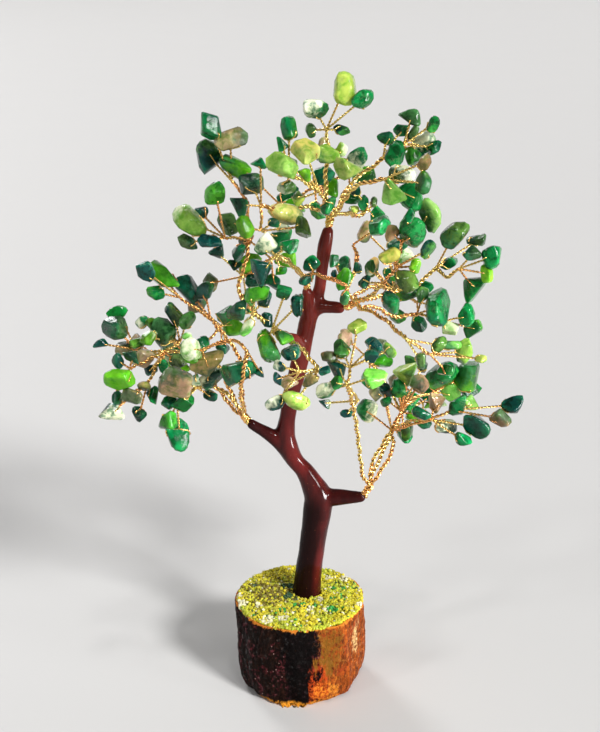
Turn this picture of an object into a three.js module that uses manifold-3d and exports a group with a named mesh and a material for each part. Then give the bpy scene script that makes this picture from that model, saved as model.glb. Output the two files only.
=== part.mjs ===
import * as THREE from "three";
import { ConvexGeometry } from "three/addons/geometries/ConvexGeometry.js";
import { mergeVertices } from "three/addons/utils/BufferGeometryUtils.js";
import Module from "manifold-3d";

// Jade chip bonsai: a lacquered trunk in a slice of log, with wire boughs that carry tumbled jade
// chips. Millimetres, +Z up. The origin is the middle of the log's flat underside. The tree faces
// -Y, and its boughs fan out left (-X) and right (+X).

// The slice of log, and the crushed stone glued on it
const LOG_RADIUS = 27.5;
const LOG_HEIGHT = 35;
const LOG_SIDES = 30;
const BARK_RELIEF = 0.55;
const COVER_HEIGHT = 2.6;
const COVER_SIDES = 20;
const COVER_HOLE = 6.2;
const COVER_SEED = 77;
const SEAT_GAP = 0.3;

// The trunk: centre line [x, y, z] and radius, from the foot in the log to the crown's tip
const TRUNK_FOOT = [2.8, 4];
const FOOT_RADIUS = 5.2;
const FOOT_DEPTH = 8;
const TRUNK = [
  [2.8, 4, LOG_HEIGHT - FOOT_DEPTH, FOOT_RADIUS], [2.8, 4, 36, FOOT_RADIUS], [3.2, 4, 41, 5.8],
  [3.7, 4, 47, 5.6], [5, 3.4, 58, 5.4], [6.4, 2.4, 70, 5.6], [7.3, 1.8, 78, 5.9], [7.6, 1.6, 83.5, 5.9],
  [5, 1.2, 90, 5], [1.6, 0.6, 96, 4.5], [-2.6, 0.2, 101, 4.3], [-5.2, 0, 107.4, 4.4], [-6, 0, 113, 3.9],
  [-5.1, 0.3, 120, 3.4], [-3.4, 0.8, 130, 3.4], [-1, 1.6, 139.4, 3.6], [0.9, 2, 148, 3.5],
  [3.1, 2, 160, 3.5], [5.4, 2, 167, 3.3], [7.7, 2, 174, 2.4], [8.7, 2, 183, 2.4], [9.5, 2, 190, 2.8],
  [10.9, 2, 198, 2.5],
];
const TRUNK_RINGS = 22;
const TRUNK_SIDES = 10;

// Stubs that grow from the trunk. Each ends in a blind socket that the wires stand in.
const STUBS = {
  right_low: [[7, 1.6, 82.6, 4.4], [12, 1, 83.6, 3.8], [17, 0, 84.2, 3.4], [22.8, -1, 84.7, 3],
    [26.1, -2, 85.2, 2.6]],
  left_low: [[-3.4, 0.3, 103.4, 3.8], [-7.4, -0.2, 108.4, 3.4], [-11.8, -1, 112.4, 2.9],
    [-16.4, -2, 115.8, 2.6], [-20.2, -3, 118.7, 2.5]],
  left_mid: [[0.6, 2, 147, 2.8], [-0.6, -1.5, 151.5, 2.7], [-2.2, -5.5, 155, 2.6], [-3.9, -9, 157.1, 2.5]],
  right_mid: [[4.4, 2, 164, 2.9], [8, 1, 166.6, 2.8], [12, -1, 167.3, 2.6], [16.5, -3, 167.5, 2.5]],
  left_up: [[3.8, 2, 158, 2.7], [3.4, 0.6, 164, 2.6], [3.1, -0.6, 169.5, 2.5], [2.8, -1.5, 174.4, 2.5]],
  crown: TRUNK.slice(-2),
};
const STUB_SIDES = 8;
const SOCKET_RADIUS = 1.85;
const SOCKET_DEPTH = 4;
const SOCKET_SIDES = 8;

// Wire: a bough's root stands in the socket, its limbs are twisted cords, and a twig holds each chip
const ROOT_RADIUS = 0.5;
const ROOT_CIRCLE = 1.05;
const ROOT_LENGTH = 3.4;
const EXIT = 0.8;
const CORD_RADIUS = 0.75;
const CORD_SIDES = 3;
const CORD_STEP = 9;
const TWIG_RADIUS = 0.52;
const KNOT_RADIUS = 2.4;
const TWIG_SIDES = 3;

// Chips: a tumbled stone is the hull of points scattered on an ellipsoid
const CHIP_POINTS = 8;
const CHIP_SWELL = 1.14;
const CHIP_WIDTH = [0.62, 0.86];
const CHIP_THICKNESS = [0.44, 0.64];
const CHIP_TURN = 0.1;
const CHIP_TILT = 0.6;
const DEPTH_FALL = THREE.MathUtils.degToRad(20);
const CHIP_LEAN = 0.7;
const GOLDEN_ANGLE = 137.5;
const RING_LIE = 70;
const CHIP_SEED = 20298;

// Bending the boughs clear: the gap between them, how far chips of one bough may touch, the size of
// a chip's ball, the spacing of the balls along wire, and how the rounds of pushing go
const CLEAR = 0.6;
const TOUCH = 0.8;
const CHIP_BALL = 0.47;
const BALL_STEP = 2;
const ROUNDS = 120;
const SEARCH_EVERY = 30;
const SEARCH_REACH = 7;
const PUSH_SHARE = 0.25;
const LONGEST_PUSH = 1;
const HOME_PULL = 0.02;
const ROUTE_FREEDOM = 0.5;
const WOOD = "wood";

// A limb starts at the bough's root (-1) or at the end of an earlier limb, follows its route to its
// own end, and fans out there in twigs [bearing, reach, chip length, lie]. A twig's bearing and its
// chip's lie, the way that the chip's long axis points, are degrees from +X towards +Z.
const limb = (from, route, twigs) => ({ from, route, twigs });
const bough = (stub, limbs) => ({ stub, limbs });

// Twigs all round the end of a limb, at the golden angle to each other
const ring = (count, reach, length) => Array.from({ length: count }, (_, k) =>
  [GOLDEN_ANGLE * k, reach * (0.55 + 0.45 * ((k * 2) % 3)), length - (k % 3), RING_LIE * k]);

const BOUGHS = {
  right_low_rise: bough("right_low", [
    limb(-1, [[26, -3, 94], [24, -8, 109], [22, -16, 125], [20, -22, 136], [18, -29, 145]], [
      [20, 10, 11, 25], [120, 8, 8, 155], [-165, 8, 10, 25], [165, 4, 6, 60],
    ]),
    limb(0, [[19, -26, 151]], [
      [115, 8, 8, 120], [150, 9, 7, 0], [80, 17, 9, 20], [45, 13, 7, 150], [30, 9, 6, 30],
      [25, 17, 7, 120],
    ]),
    limb(0, [[23, -12, 132]], [
      [-175, 13, 5, 160], [-130, 7, 5, 0],
    ]),
  ]),
  right_low_fan: bough("right_low", [
    limb(-1, [[29, 0, 93], [30, 4, 98], [34, 6, 105], [38, 8, 111]], [
      [140, 13, 10, 110], [105, 13, 6, 20], [0, 6, 9, 80], [100, 18, 9, 120],
    ]),
    limb(-1, [[31, -4, 95], [36, -3, 103], [38, 1, 107]], []),
    limb(0, [[42, 12, 118]], [
      [100, 11, 8, 95], [85, 17, 11, 30], [80, 22, 6, 20], [65, 22, 8, 90], [60, 14, 9, 115],
    ]),
    limb(0, [[45, -5, 119], [52, -12, 124]], [
      [150, 5, 7, 170], [75, 7, 8, 160], [-25, 7, 10, 170], [-35, 14, 8, 155], [-10, 18, 12, 150],
    ]),
    limb(3, [[60, -12, 128]], [
      [35, 3, 9, 20], [15, 9, 7, 120], [-10, 19, 9, 155], [5, 25, 10, 10],
    ]),
    limb(2, [[50, 25, 119], [57, 32, 118]], [
      [65, 9, 16, 40], [5, 8, 11, 120], [30, 17, 14, 80], [5, 17, 9, 45],
    ]),
  ]),
  right_mid_low: bough("right_mid", [
    limb(-1, [[20, -5, 168], [26, -10, 169], [32, -18, 168], [40, -28, 163]], [
      [-10, 13, 7, 45], [-60, 10, 7, 90],
    ]),
    limb(0, [[49, -28, 157]], [
      [25, 9, 7, 0], [5, 14, 11, 95], [-5, 19, 5, 0], [-45, 9, 7, 20],
    ]),
    limb(-1, [[20, 0, 167], [29, 7, 165], [38, 16, 158], [48, 19, 158]], [
      [30, 8, 16, 90], [70, 8, 7, 60],
    ]),
    limb(2, [[60, 22, 154]], [
      [15, 9, 9, 100], [-55, 4, 7, 160], [-15, 13, 9, 45],
    ]),
  ]),
  right_mid_up: bough("right_mid", [
    limb(-1, [[21, 2, 168], [30, 10, 168], [39, 19, 168], [48, 22, 170], [56, 26, 176]], [
      [65, 15, 13, 45], [35, 21, 10, 0], [20, 6, 8, 25],
    ]),
    limb(0, [[59, 19, 174], [64, 16, 178]], [
      [50, 8, 7, 175], [20, 13, 11, 60], [-10, 11, 7, 95], [-50, 10, 12, 55],
    ]),
  ]),
  right_mid_high: bough("right_mid", [
    limb(-1, [[20, -8, 172], [26, -19, 177], [31, -28, 185]], [
      [-70, 8, 11, 110], [130, 8, 6, 90], [175, 7, 6, 45],
    ]),
    limb(0, [[35, -32, 192]], [
      [120, 5, 10, 25], [-55, 6, 10, 125], [5, 7, 6, 90], [30, 12, 8, 65],
    ]),
    limb(1, [[38, -22, 199]], [
      [80, 11, 6, 45], [45, 5, 13, 115], [45, 14, 11, 120], [145, 5, 7, 65],
    ]),
    limb(-1, [[19, -6, 172], [18, -10, 177]], [
      [115, 12, 6, 90], [95, 10, 7, 90], [105, 4, 8, 90], [65, 10, 5, 95], [130, 8, 4, 90],
    ]),
    limb(3, [[22, 2, 185], [21, 9, 190]], [
      [35, 13, 10, 35],
    ]),
  ]),
  crown_top: bough("crown", [
    limb(-1, [[12, 0, 204], [11, 2, 209], [10, 5, 218], [11, 5, 228]], [
      [-125, 2, 10, 165], [5, 5, 6, 95], [-50, 10, 11, 150],
    ]),
    limb(0, [[10, 5, 236]], [
      [65, 16, 13, 95], [35, 16, 9, 35], [125, 8, 10, 0], [180, 6, 6, 90], [0, 6, 6, 160],
    ]),
  ]),
  crown_left: bough("crown", [
    limb(-1, [[11, -3, 205], [10, -13, 212], [7, -22, 218]], [
      [110, 15, 11, 160], [130, 8, 6, 120], [-165, 8, 6, 60], [-55, 6, 8, 60],
    ]),
    limb(0, [[0, -25, 223], [-4, -29, 225]], [
      [120, 4, 13, 150], [-105, 4, 7, 0], [100, 13, 6, 105], [90, 18, 10, 110],
    ]),
    limb(-1, [[10, 2, 204], [4, 5, 206], [-5, 5, 205], [-15, 2, 207]], [
      [110, 10, 11, 145], [90, 16, 6, 0], [-15, 10, 14, 175], [180, 8, 9, 115],
    ]),
    limb(2, [[-15, -1, 198]], [
      [170, 6, 9, 110], [-25, 8, 12, 45], [5, 16, 9, 100], [35, 6, 5, 0],
    ]),
  ]),
  crown_right: bough("crown", [
    limb(-1, [[14, 4, 204], [17, 8, 210], [21, 12, 215], [26, 12, 219], [32, 9, 224]], [
      [80, 9, 8, 160], [20, 5, 12, 70], [60, 14, 6, 160],
    ]),
    limb(0, [[40, 12, 229]], [
      [75, 10, 9, 165], [50, 6, 6, 60], [35, 14, 8, 75], [10, 8, 10, 30], [-5, 12, 7, 60],
      [-50, 7, 10, 145],
    ]),
    limb(-1, [[14, -4, 205], [17, -13, 213], [21, -22, 220], [30, -29, 224]], [
      [20, 7, 10, 170], [20, 15, 6, 60], [-10, 14, 9, 75], [-35, 13, 11, 115], [-55, 6, 10, 140],
    ]),
    limb(-1, [[15, 2, 202], [19, 14, 201], [23, 26, 197], [28, 29, 199]], [
      [125, 10, 6, 100], [125, 4, 6, 80], [180, 6, 5, 90], [60, 4, 5, 90], [-35, 4, 7, 60],
    ]),
  ]),
  left_up_front: bough("left_up", [
    limb(-1, [[1, -4, 181], [-4, -19, 190], [-9, -30, 196]], [
      [-130, 8, 10, 100], [35, 6, 7, 0], [-70, 6, 5, 50], [130, 5, 9, 70],
    ]),
  ]),
  left_up_near: bough("left_up", [
    limb(-1, [[3, -6, 181], [5, -22, 187]], [
      [100, 4, 7, 30], [-140, 4, 6, 20],
    ]),
    limb(0, [[11, -33, 188], [17, -37, 187]], [
      [-100, 5, 5, 90],
    ]),
  ]),
  left_mid_gold: bough("left_mid", [
    limb(-1, [[-7, -14, 159], [-11, -19, 163]], [
      [-30, 5, 9, 160], [-115, 8, 14, 110], [70, 16, 7, 150], [45, 14, 9, 95],
    ]),
    limb(-1, [[-8, -10, 160], [-12, -16, 165], [-18, -21, 171]], [
      [175, 6, 10, 50], [80, 8, 10, 60], [-110, 6, 8, 70], [-25, 6, 7, 125], [50, 7, 7, 70],
    ]),
  ]),
  left_mid_tall: bough("left_mid", [
    limb(-1, [[-9, -4, 160], [-17, -2, 165], [-23, 3, 170], [-24, 6, 175], [-21, 6, 185], [-20, 10, 192]], [
      [-125, 7, 9, 80], [-120, 12, 5, 0], [145, 10, 11, 130],
    ]),
    limb(0, [[-29, 0, 195]], [
      [150, 15, 14, 145], [-175, 15, 7, 160], [135, 15, 7, 0], [100, 16, 10, 60], [-165, 6, 9, 0],
    ]),
    limb(0, [[-21, 10, 202], [-22, 13, 208], [-27, 16, 214]], [
      [110, 22, 11, 120], [130, 15, 13, 120], [90, 16, 12, 25], [75, 6, 14, 150],
    ]),
  ]),
  left_mid_front: bough("left_mid", [
    limb(-1, [[-3, -16, 158], [1, -28, 159], [7, -34, 153]], [
      [-125, 5, 7, 20], [-10, 2, 5, 10], [-125, 15, 11, 150], [-155, 12, 7, 0],
    ]),
    limb(0, [[0, -41, 155]], [
      [115, 8, 8, 15], [165, 8, 5, 140], [-160, 9, 5, 100], [-125, 15, 8, 45],
    ]),
  ]),
  left_low_near: bough("left_low", [
    limb(-1, [[-22, -8, 126], [-23, -19, 138], [-21, -25, 151], [-19, -22, 157]], [
      [-115, 10, 14, 25], [-65, 10, 5, 90],
    ]),
    limb(0, [[-25, -18, 159], [-32, -15, 157], [-38, -15, 154]], [
      [-175, 4, 11, 100], [-75, 5, 13, 5], [135, 8, 4, 0], [-75, 12, 10, 20],
    ]),
  ]),
  left_low_far: bough("left_low", [
    limb(-1, [[-24, -3, 125], [-29, -2, 131], [-35, -1, 134], [-41, -8, 136]], [
      [160, 7, 15, 20], [-35, 6, 6, 135], [-130, 8, 9, 10],
    ]),
    limb(0, [[-49, -8, 129]], [
      [165, 3, 7, 170], [-115, 9, 11, 75], [-90, 15, 13, 100],
    ]),
    limb(-1, [[-25, 3, 121], [-30, 10, 130], [-35, 12, 140], [-45, 9, 145], [-55, 6, 146]], [
      [-35, 7, 8, 160], [-90, 6, 6, 60], [-130, 10, 6, 0], [-165, 9, 10, 10],
    ]),
    limb(2, [[-67, -8, 144]], [
      [-135, 6, 12, 160], [80, 5, 7, 150], [145, 6, 6, 80],
    ]),
    limb(2, [[-67, 12, 145]], [
      [175, 5, 8, 5], [170, 14, 6, 0], [130, 12, 13, 0], [115, 18, 9, 0], [70, 3, 8, 30],
    ]),
    limb(2, [[-49, 12, 148]], [
      [150, 7, 14, 120], [145, 15, 6, 150], [170, 12, 8, 30], [100, 12, 10, 110], [70, 10, 8, 55],
      [150, 18, 6, 45],
    ]),
    limb(2, [[-61, -5, 136]], [
      [-155, 14, 6, 90], [-140, 18, 11, 170], [-140, 7, 9, 150], [-65, 5, 7, 60], [-105, 13, 7, 140],
      [-160, 1, 5, 0],
    ]),
  ]),
  left_low_arc: bough("left_low", [
    limb(-1, [[-23, 2, 121], [-24, 16, 126], [-25, 26, 135], [-30, 26, 144], [-37, 22, 155]], [
      [125, 15, 13, 130], [100, 12, 8, 45],
    ]),
    limb(0, [[-49, 19, 165]], [
      [130, 12, 14, 140], [140, 16, 9, 120], [165, 10, 8, 150],
    ]),
  ]),
  right_low_back: bough("right_low", [
    limb(-1, [[30, 4, 92], [37, 16, 102], [44, 30, 110]], ring(4, 10, 10)),
    limb(0, [[54, 42, 110]], ring(4, 10, 10)),
    limb(0, [[36, 38, 122], [30, 42, 130]], ring(4, 10, 10)),
  ]),
  right_mid_back: bough("right_mid", [
    limb(-1, [[22, 4, 170], [31, 18, 170], [40, 30, 164]], ring(4, 10, 10)),
    limb(0, [[50, 42, 156]], ring(4, 10, 10)),
    limb(0, [[38, 44, 176]], ring(4, 10, 10)),
  ]),
  crown_back: bough("crown", [
    limb(-1, [[10, 8, 204], [9, 20, 210], [6, 32, 208]], ring(4, 10, 10)),
    limb(0, [[-8, 42, 198]], ring(4, 10, 10)),
    limb(0, [[20, 38, 212]], ring(4, 10, 10)),
  ]),
  left_up_back: bough("left_up", [
    limb(-1, [[-1, 6, 180], [-6, 18, 182], [-12, 32, 178]], ring(4, 10, 10)),
    limb(0, [[-24, 40, 168]], ring(5, 10, 10)),
  ]),
  left_low_back: bough("left_low", [
    limb(-1, [[-26, 3, 123], [-36, 15, 130], [-45, 28, 135]], ring(4, 10, 10)),
    limb(0, [[-58, 36, 130]], ring(4, 10, 10)),
    limb(0, [[-34, 40, 146]], ring(4, 10, 10)),
  ]),
};

// Park and Miller's generator, so that every build draws the same tree
function drawFrom(first) {
  let seed = first;
  return (low, high) => {
    seed = (seed * 16807) % 2147483647;
    return low + ((high - low) * seed) / 2147483647;
  };
}

const vec = (p) => new THREE.Vector3(p[0], p[1], p[2]);

// ---- solids --------------------------------------------------------------------------------

const wasm = await Module();
wasm.setup();

function toSolid(geometry) {
  const bare = geometry.clone();
  bare.deleteAttribute("normal");
  bare.deleteAttribute("uv");
  const merged = mergeVertices(bare, 1e-4);
  const mesh = new wasm.Mesh({
    numProp: 3,
    vertProperties: new Float32Array(merged.attributes.position.array),
    triVerts: new Uint32Array(merged.index.array),
  });
  return new wasm.Manifold(mesh);
}

function toGeometry(solid) {
  const mesh = solid.getMesh();
  const geometry = new THREE.BufferGeometry();
  geometry.setAttribute("position", new THREE.BufferAttribute(mesh.vertProperties, 3));
  geometry.setIndex(new THREE.BufferAttribute(mesh.triVerts, 1));
  geometry.computeVertexNormals();
  return geometry;
}

// Joins solids into one body. A pocket that the joining seals is filled.
function fuse(solids) {
  const whole = solids.reduce((sum, solid) => sum.add(solid));
  const shells = whole.decompose();
  return shells.reduce((best, shell) => (shell.volume() > best.volume() ? shell : best));
}

// A closed skin over rings of points, which all have the same number of points
function skin(rings) {
  const sides = rings[0].length;
  const positions = rings.flat().flatMap((p) => [p.x, p.y, p.z]);
  const index = [];
  for (let k = 0; k + 1 < rings.length; k += 1) {
    for (let i = 0; i < sides; i += 1) {
      const a = k * sides + i;
      const b = k * sides + ((i + 1) % sides);
      index.push(a, b, b + sides, a, b + sides, a + sides);
    }
  }
  const last = (rings.length - 1) * sides;
  for (let i = 1; i + 1 < sides; i += 1) {
    index.push(0, i + 1, i, last, last + i, last + i + 1);
  }
  const geometry = new THREE.BufferGeometry();
  geometry.setAttribute("position", new THREE.Float32BufferAttribute(positions, 3));
  geometry.setIndex(index);
  return geometry;
}

// A rod through points, with a radius at each
function rod(points, radii, sides) {
  const along = points.map((_, k) => {
    const next = points[Math.min(k + 1, points.length - 1)];
    const back = points[Math.max(k - 1, 0)];
    return next.clone().sub(back).normalize();
  });
  const across = new THREE.Vector3(0.31, 0.17, -0.94);
  const rings = points.map((point, k) => {
    across.addScaledVector(along[k], -across.dot(along[k])).normalize();
    const up = new THREE.Vector3().crossVectors(along[k], across);
    return Array.from({ length: sides }, (_, i) => {
      const angle = (2 * Math.PI * i) / sides;
      return point.clone()
        .addScaledVector(across, radii[k] * Math.cos(angle))
        .addScaledVector(up, radii[k] * Math.sin(angle));
    });
  });
  return skin(rings);
}

// ---- log, cover and trunk --------------------------------------------------------------------

function footHole(radius, from, to) {
  const hole = new THREE.CylinderGeometry(radius, radius, to - from, 24);
  hole.rotateX(Math.PI / 2);
  hole.translate(TRUNK_FOOT[0], TRUNK_FOOT[1], (from + to) / 2);
  return toSolid(hole);
}

function bark(angle, z) {
  return Math.sin(5 * angle + 0.7 * Math.sin(z / 9)) + 0.7 * Math.sin(9 * angle + 1.3 + z / 14)
    + 0.5 * Math.sin(16 * angle + z / 8);
}

// A round slice with worn edges, bark ridges down its side, and a blind hole for the trunk's foot
function makeLog() {
  const profile = [[0, 0.885], [1.4, 0.945], [5, 0.985], [13, 1], [22, 0.995], [30, 1.003], [33.6, 1],
    [LOG_HEIGHT, 0.975]];
  const rings = profile.map(([z, share]) => Array.from({ length: LOG_SIDES }, (_, i) => {
    const angle = (2 * Math.PI * i) / LOG_SIDES;
    const radius = LOG_RADIUS * share + BARK_RELIEF * bark(angle, z) * (z > 0 ? 1 : 0.4);
    return new THREE.Vector3(radius * Math.cos(angle), radius * Math.sin(angle), z);
  }));
  const bottom = LOG_HEIGHT - FOOT_DEPTH - SEAT_GAP;
  return toSolid(skin(rings)).subtract(footHole(FOOT_RADIUS + SEAT_GAP, bottom, LOG_HEIGHT + 1));
}

// The ragged, lumpy layer of crushed stone, with a hole that the trunk passes through
function makeCover() {
  const draw = drawFrom(COVER_SEED);
  const base = LOG_HEIGHT + SEAT_GAP;
  const profile = [[0, 0.93], [0.5, 0.97], [0.8, 0.965], [0.95, 0.9], [1, 0.7], [1.1, 0.48], [1.2, 0.2]];
  const rings = profile.map(([share, reach], k) => Array.from({ length: COVER_SIDES }, (_, i) => {
    const angle = (2 * Math.PI * (i + 0.5 * (k % 2))) / COVER_SIDES;
    const rough = k === 0 ? 0 : 1;
    const radius = LOG_RADIUS * reach + rough * draw(-0.7, 0.5);
    const z = base + COVER_HEIGHT * share + rough * draw(-0.35, 0.35);
    return new THREE.Vector3(radius * Math.cos(angle), radius * Math.sin(angle), z);
  }));
  return toSolid(skin(rings)).subtract(footHole(COVER_HOLE, base - 1, base + 2 * COVER_HEIGHT));
}

// A round, tapering limb of the trunk through [x, y, z, radius] points
function branch(points, rings, sides) {
  const curve = new THREE.CatmullRomCurve3(points.map(vec), false, "centripetal");
  const sampled = Array.from({ length: rings }, (_, k) => (k * (points.length - 1)) / (rings - 1));
  const centres = sampled.map((t) => curve.getPoint(t / (points.length - 1)));
  const radii = sampled.map((t) => {
    const k = Math.min(Math.floor(t), points.length - 2);
    return THREE.MathUtils.lerp(points[k][3], points[k + 1][3], t - k);
  });
  return toSolid(rod(centres, radii, sides));
}

const stubEnd = (name) => {
  const [before, tip] = STUBS[name].slice(-2).map(vec);
  return { tip, out: tip.clone().sub(before).normalize() };
};

function makeTrunk() {
  const stubs = Object.keys(STUBS).filter((name) => name !== "crown");
  const grown = stubs.map((name) => branch(STUBS[name], STUBS[name].length + 1, STUB_SIDES));
  const sockets = Object.keys(STUBS).map((name) => {
    const { tip, out } = stubEnd(name);
    const ends = [tip.clone().addScaledVector(out, -SOCKET_DEPTH), tip.clone().addScaledVector(out, 1)];
    return toSolid(rod(ends, [SOCKET_RADIUS, SOCKET_RADIUS], SOCKET_SIDES));
  });
  const whole = fuse([branch(TRUNK, TRUNK_RINGS, TRUNK_SIDES), ...grown]);
  return sockets.reduce((left, socket) => left.subtract(socket), whole);
}

// ---- where every wire and chip goes ------------------------------------------------------------

// Two directions across a stub's end
function acrossStub(out) {
  const across = new THREE.Vector3(0, 1, 0).cross(out).normalize();
  return { across, up: out.clone().cross(across) };
}

// Where each bough's root stands in its socket: on one circle, on the side that the bough sets out to
function rootSlots() {
  const slots = {};
  for (const stub of Object.keys(STUBS)) {
    const { tip, out } = stubEnd(stub);
    const { across, up } = acrossStub(out);
    const own = Object.keys(BOUGHS).filter((name) => BOUGHS[name].stub === stub);
    const headings = own.map((name) => {
      const away = new THREE.Vector3();
      const setOut = BOUGHS[name].limbs.filter(({ from }) => from < 0);
      setOut.forEach(({ route }) => away.add(vec(route[1])).sub(tip));
      return { name, angle: Math.atan2(away.dot(up), away.dot(across)) };
    }).sort((a, b) => a.angle - b.angle);
    const step = (2 * Math.PI) / own.length;
    const drift = headings.reduce((sum, { angle }, k) => sum + (angle - k * step) / own.length, 0);
    headings.forEach(({ name }, k) => {
      const angle = drift + k * step;
      slots[name] = across.clone().multiplyScalar(ROOT_CIRCLE * Math.cos(angle))
        .addScaledVector(up, ROOT_CIRCLE * Math.sin(angle));
    });
  }
  return slots;
}

// Every bend of wire and every chip is a point, and every straight stretch of wire is a link
function layOut() {
  const draw = drawFrom(CHIP_SEED);
  const points = [];
  const links = [];
  const cords = [];
  const chips = [];
  const slots = rootSlots();
  const addPoint = (at, free) => points.push({ at, home: at.clone(), free }) - 1;
  const addLink = (a, b, ra, rb, owner, held) => links.push({ a, b, ra, rb, owner, held });
  for (const [owner, { stub, limbs }] of Object.entries(BOUGHS)) {
    const { tip, out } = stubEnd(stub);
    const foot = tip.clone().add(slots[owner]);
    const root = addPoint(foot.clone().addScaledVector(out, -ROOT_LENGTH), 0);
    const exit = addPoint(foot.clone().addScaledVector(out, EXIT), 0);
    const ends = [];
    limbs.forEach(({ from, route, twigs }) => {
      const start = ends.length === 0 ? [root, exit] : [exit];
      const path = from < 0 ? start : [ends[from]];
      route.forEach((place) => path.push(addPoint(vec(place), ROUTE_FREEDOM)));
      const radii = path.map((p) => (p === root || p === exit ? ROOT_RADIUS : CORD_RADIUS));
      for (let k = 0; k + 1 < path.length; k += 1) {
        addLink(path[k], path[k + 1], radii[k], radii[k + 1], owner, path[k] === root || path[k] === exit);
      }
      cords.push({ owner, path, radii });
      const hub = path[path.length - 1];
      ends.push(hub);
      twigs.forEach(([bearing, reach, length, lie]) => {
        const angle = THREE.MathUtils.degToRad(bearing);
        const lean = reach * draw(-CHIP_LEAN, CHIP_LEAN) + draw(-2, 2);
        const chipAt = points[hub].at.clone().add(new THREE.Vector3(
          reach * Math.cos(angle),
          lean * Math.cos(DEPTH_FALL),
          reach * Math.sin(angle) - lean * Math.sin(DEPTH_FALL),
        ));
        const point = addPoint(chipAt, 1);
        addLink(hub, point, TWIG_RADIUS, TWIG_RADIUS, owner, false);
        chips.push({ owner, hub, point, length, shape: chipShape(lie, draw) });
      });
    });
  }
  return { points, links, cords, chips };
}

// A chip of length 1 round the origin, as scattered points on an ellipsoid that is longest along its lie
function chipShape(lie, draw) {
  const angle = THREE.MathUtils.degToRad(lie) + draw(-CHIP_TURN, CHIP_TURN);
  const tilt = draw(-CHIP_TILT, CHIP_TILT);
  const roll = draw(0, Math.PI);
  const half = [1, draw(...CHIP_WIDTH), draw(...CHIP_THICKNESS)].map((share) => 0.5 * CHIP_SWELL * share);
  const long = new THREE.Vector3(Math.cos(angle), Math.tan(tilt), Math.sin(angle)).normalize();
  const side = new THREE.Vector3(-Math.sin(angle), 0, Math.cos(angle));
  const thick = long.clone().cross(side);
  const wide = side.clone().multiplyScalar(Math.cos(roll)).addScaledVector(thick, Math.sin(roll));
  const thin = long.clone().cross(wide);
  return Array.from({ length: CHIP_POINTS }, (_, k) => {
    const height = 1 - (2 * (k + 0.5)) / CHIP_POINTS;
    const turn = THREE.MathUtils.degToRad(GOLDEN_ANGLE * k) + draw(-0.35, 0.35);
    const round = Math.sqrt(1 - height * height);
    const size = draw(0.9, 1.12);
    return new THREE.Vector3()
      .addScaledVector(long, half[0] * size * height)
      .addScaledVector(wide, half[1] * size * round * Math.cos(turn))
      .addScaledVector(thin, half[2] * size * round * Math.sin(turn));
  });
}

// Balls that stand for wire, chips and trunk while the boughs are bent clear of each other
function makeBalls({ points, links, chips }) {
  const balls = [];
  const addBall = (ball) => balls.push(ball);
  links.forEach(({ a, b, ra, rb, owner, held }) => {
    const count = Math.max(1, Math.ceil(points[a].at.distanceTo(points[b].at) / BALL_STEP));
    for (let k = 1; k <= count; k += 1) {
      const t = k / count;
      addBall({ a, b, t, radius: ra + (rb - ra) * t, owner, chip: false, held });
    }
  });
  chips.forEach(({ point, length, owner }) => {
    addBall({ a: point, b: point, t: 0, radius: CHIP_BALL * length, owner, chip: true, held: false });
  });
  const wood = [TRUNK, ...Object.values(STUBS).slice(0, -1)];
  wood.forEach((line) => line.slice(1).forEach((to, k) => {
    const from = line[k];
    const count = Math.ceil(vec(from).distanceTo(vec(to)) / BALL_STEP);
    for (let i = 0; i < count; i += 1) {
      const t = i / count;
      const at = vec(from).lerp(vec(to), t);
      const place = points.push({ at, home: at.clone(), free: 0 }) - 1;
      const radius = THREE.MathUtils.lerp(from[3], to[3], t);
      addBall({ a: place, b: place, t: 0, radius, owner: WOOD, chip: false, held: false });
    }
  }));
  return balls;
}

const ballAt = (points, { a, b, t }) => points[a].at.clone().lerp(points[b].at, t);

// Pairs of balls that may meet: of different boughs, or chips of one bough, which may touch a little
function nearPairs(points, balls) {
  const pairs = [];
  const places = balls.map((ball) => ballAt(points, ball));
  for (let i = 0; i < balls.length; i += 1) {
    for (let j = i + 1; j < balls.length; j += 1) {
      const [p, q] = [balls[i], balls[j]];
      const same = p.owner === q.owner;
      const kept = same ? p.chip && q.chip : !(p.held && q.owner === WOOD);
      if (kept) {
        const need = same ? TOUCH * (p.radius + q.radius) : p.radius + q.radius + CLEAR;
        if (places[i].distanceTo(places[j]) < need + SEARCH_REACH) pairs.push([p, q, need]);
      }
    }
  }
  return pairs;
}

// Pushes what is too close apart, round after round, while everything is drawn back to its home
function bendClear(layout) {
  const { points } = layout;
  const balls = makeBalls(layout);
  let pairs = [];
  for (let round = 0; round < ROUNDS; round += 1) {
    if (round % SEARCH_EVERY === 0) pairs = nearPairs(points, balls);
    const moves = points.map(() => new THREE.Vector3());
    pairs.forEach(([p, q, need]) => {
      const apart = ballAt(points, p).sub(ballAt(points, q));
      const distance = apart.length();
      if (distance >= need) return;
      const push = apart.multiplyScalar((PUSH_SHARE * (need - distance)) / Math.max(distance, 0.01));
      moves[p.a].addScaledVector(push, 1 - p.t);
      moves[p.b].addScaledVector(push, p.a === p.b ? 0 : p.t);
      moves[q.a].addScaledVector(push, -(1 - q.t));
      moves[q.b].addScaledVector(push, q.a === q.b ? 0 : -q.t);
    });
    const pull = round < ROUNDS - SEARCH_EVERY ? HOME_PULL : 0;
    points.forEach((point, k) => {
      moves[k].clampLength(0, LONGEST_PUSH);
      point.at.addScaledVector(moves[k], point.free);
      point.at.addScaledVector(point.home.clone().sub(point.at), pull * point.free);
    });
  }
}

// ---- boughs --------------------------------------------------------------------------------

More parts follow.
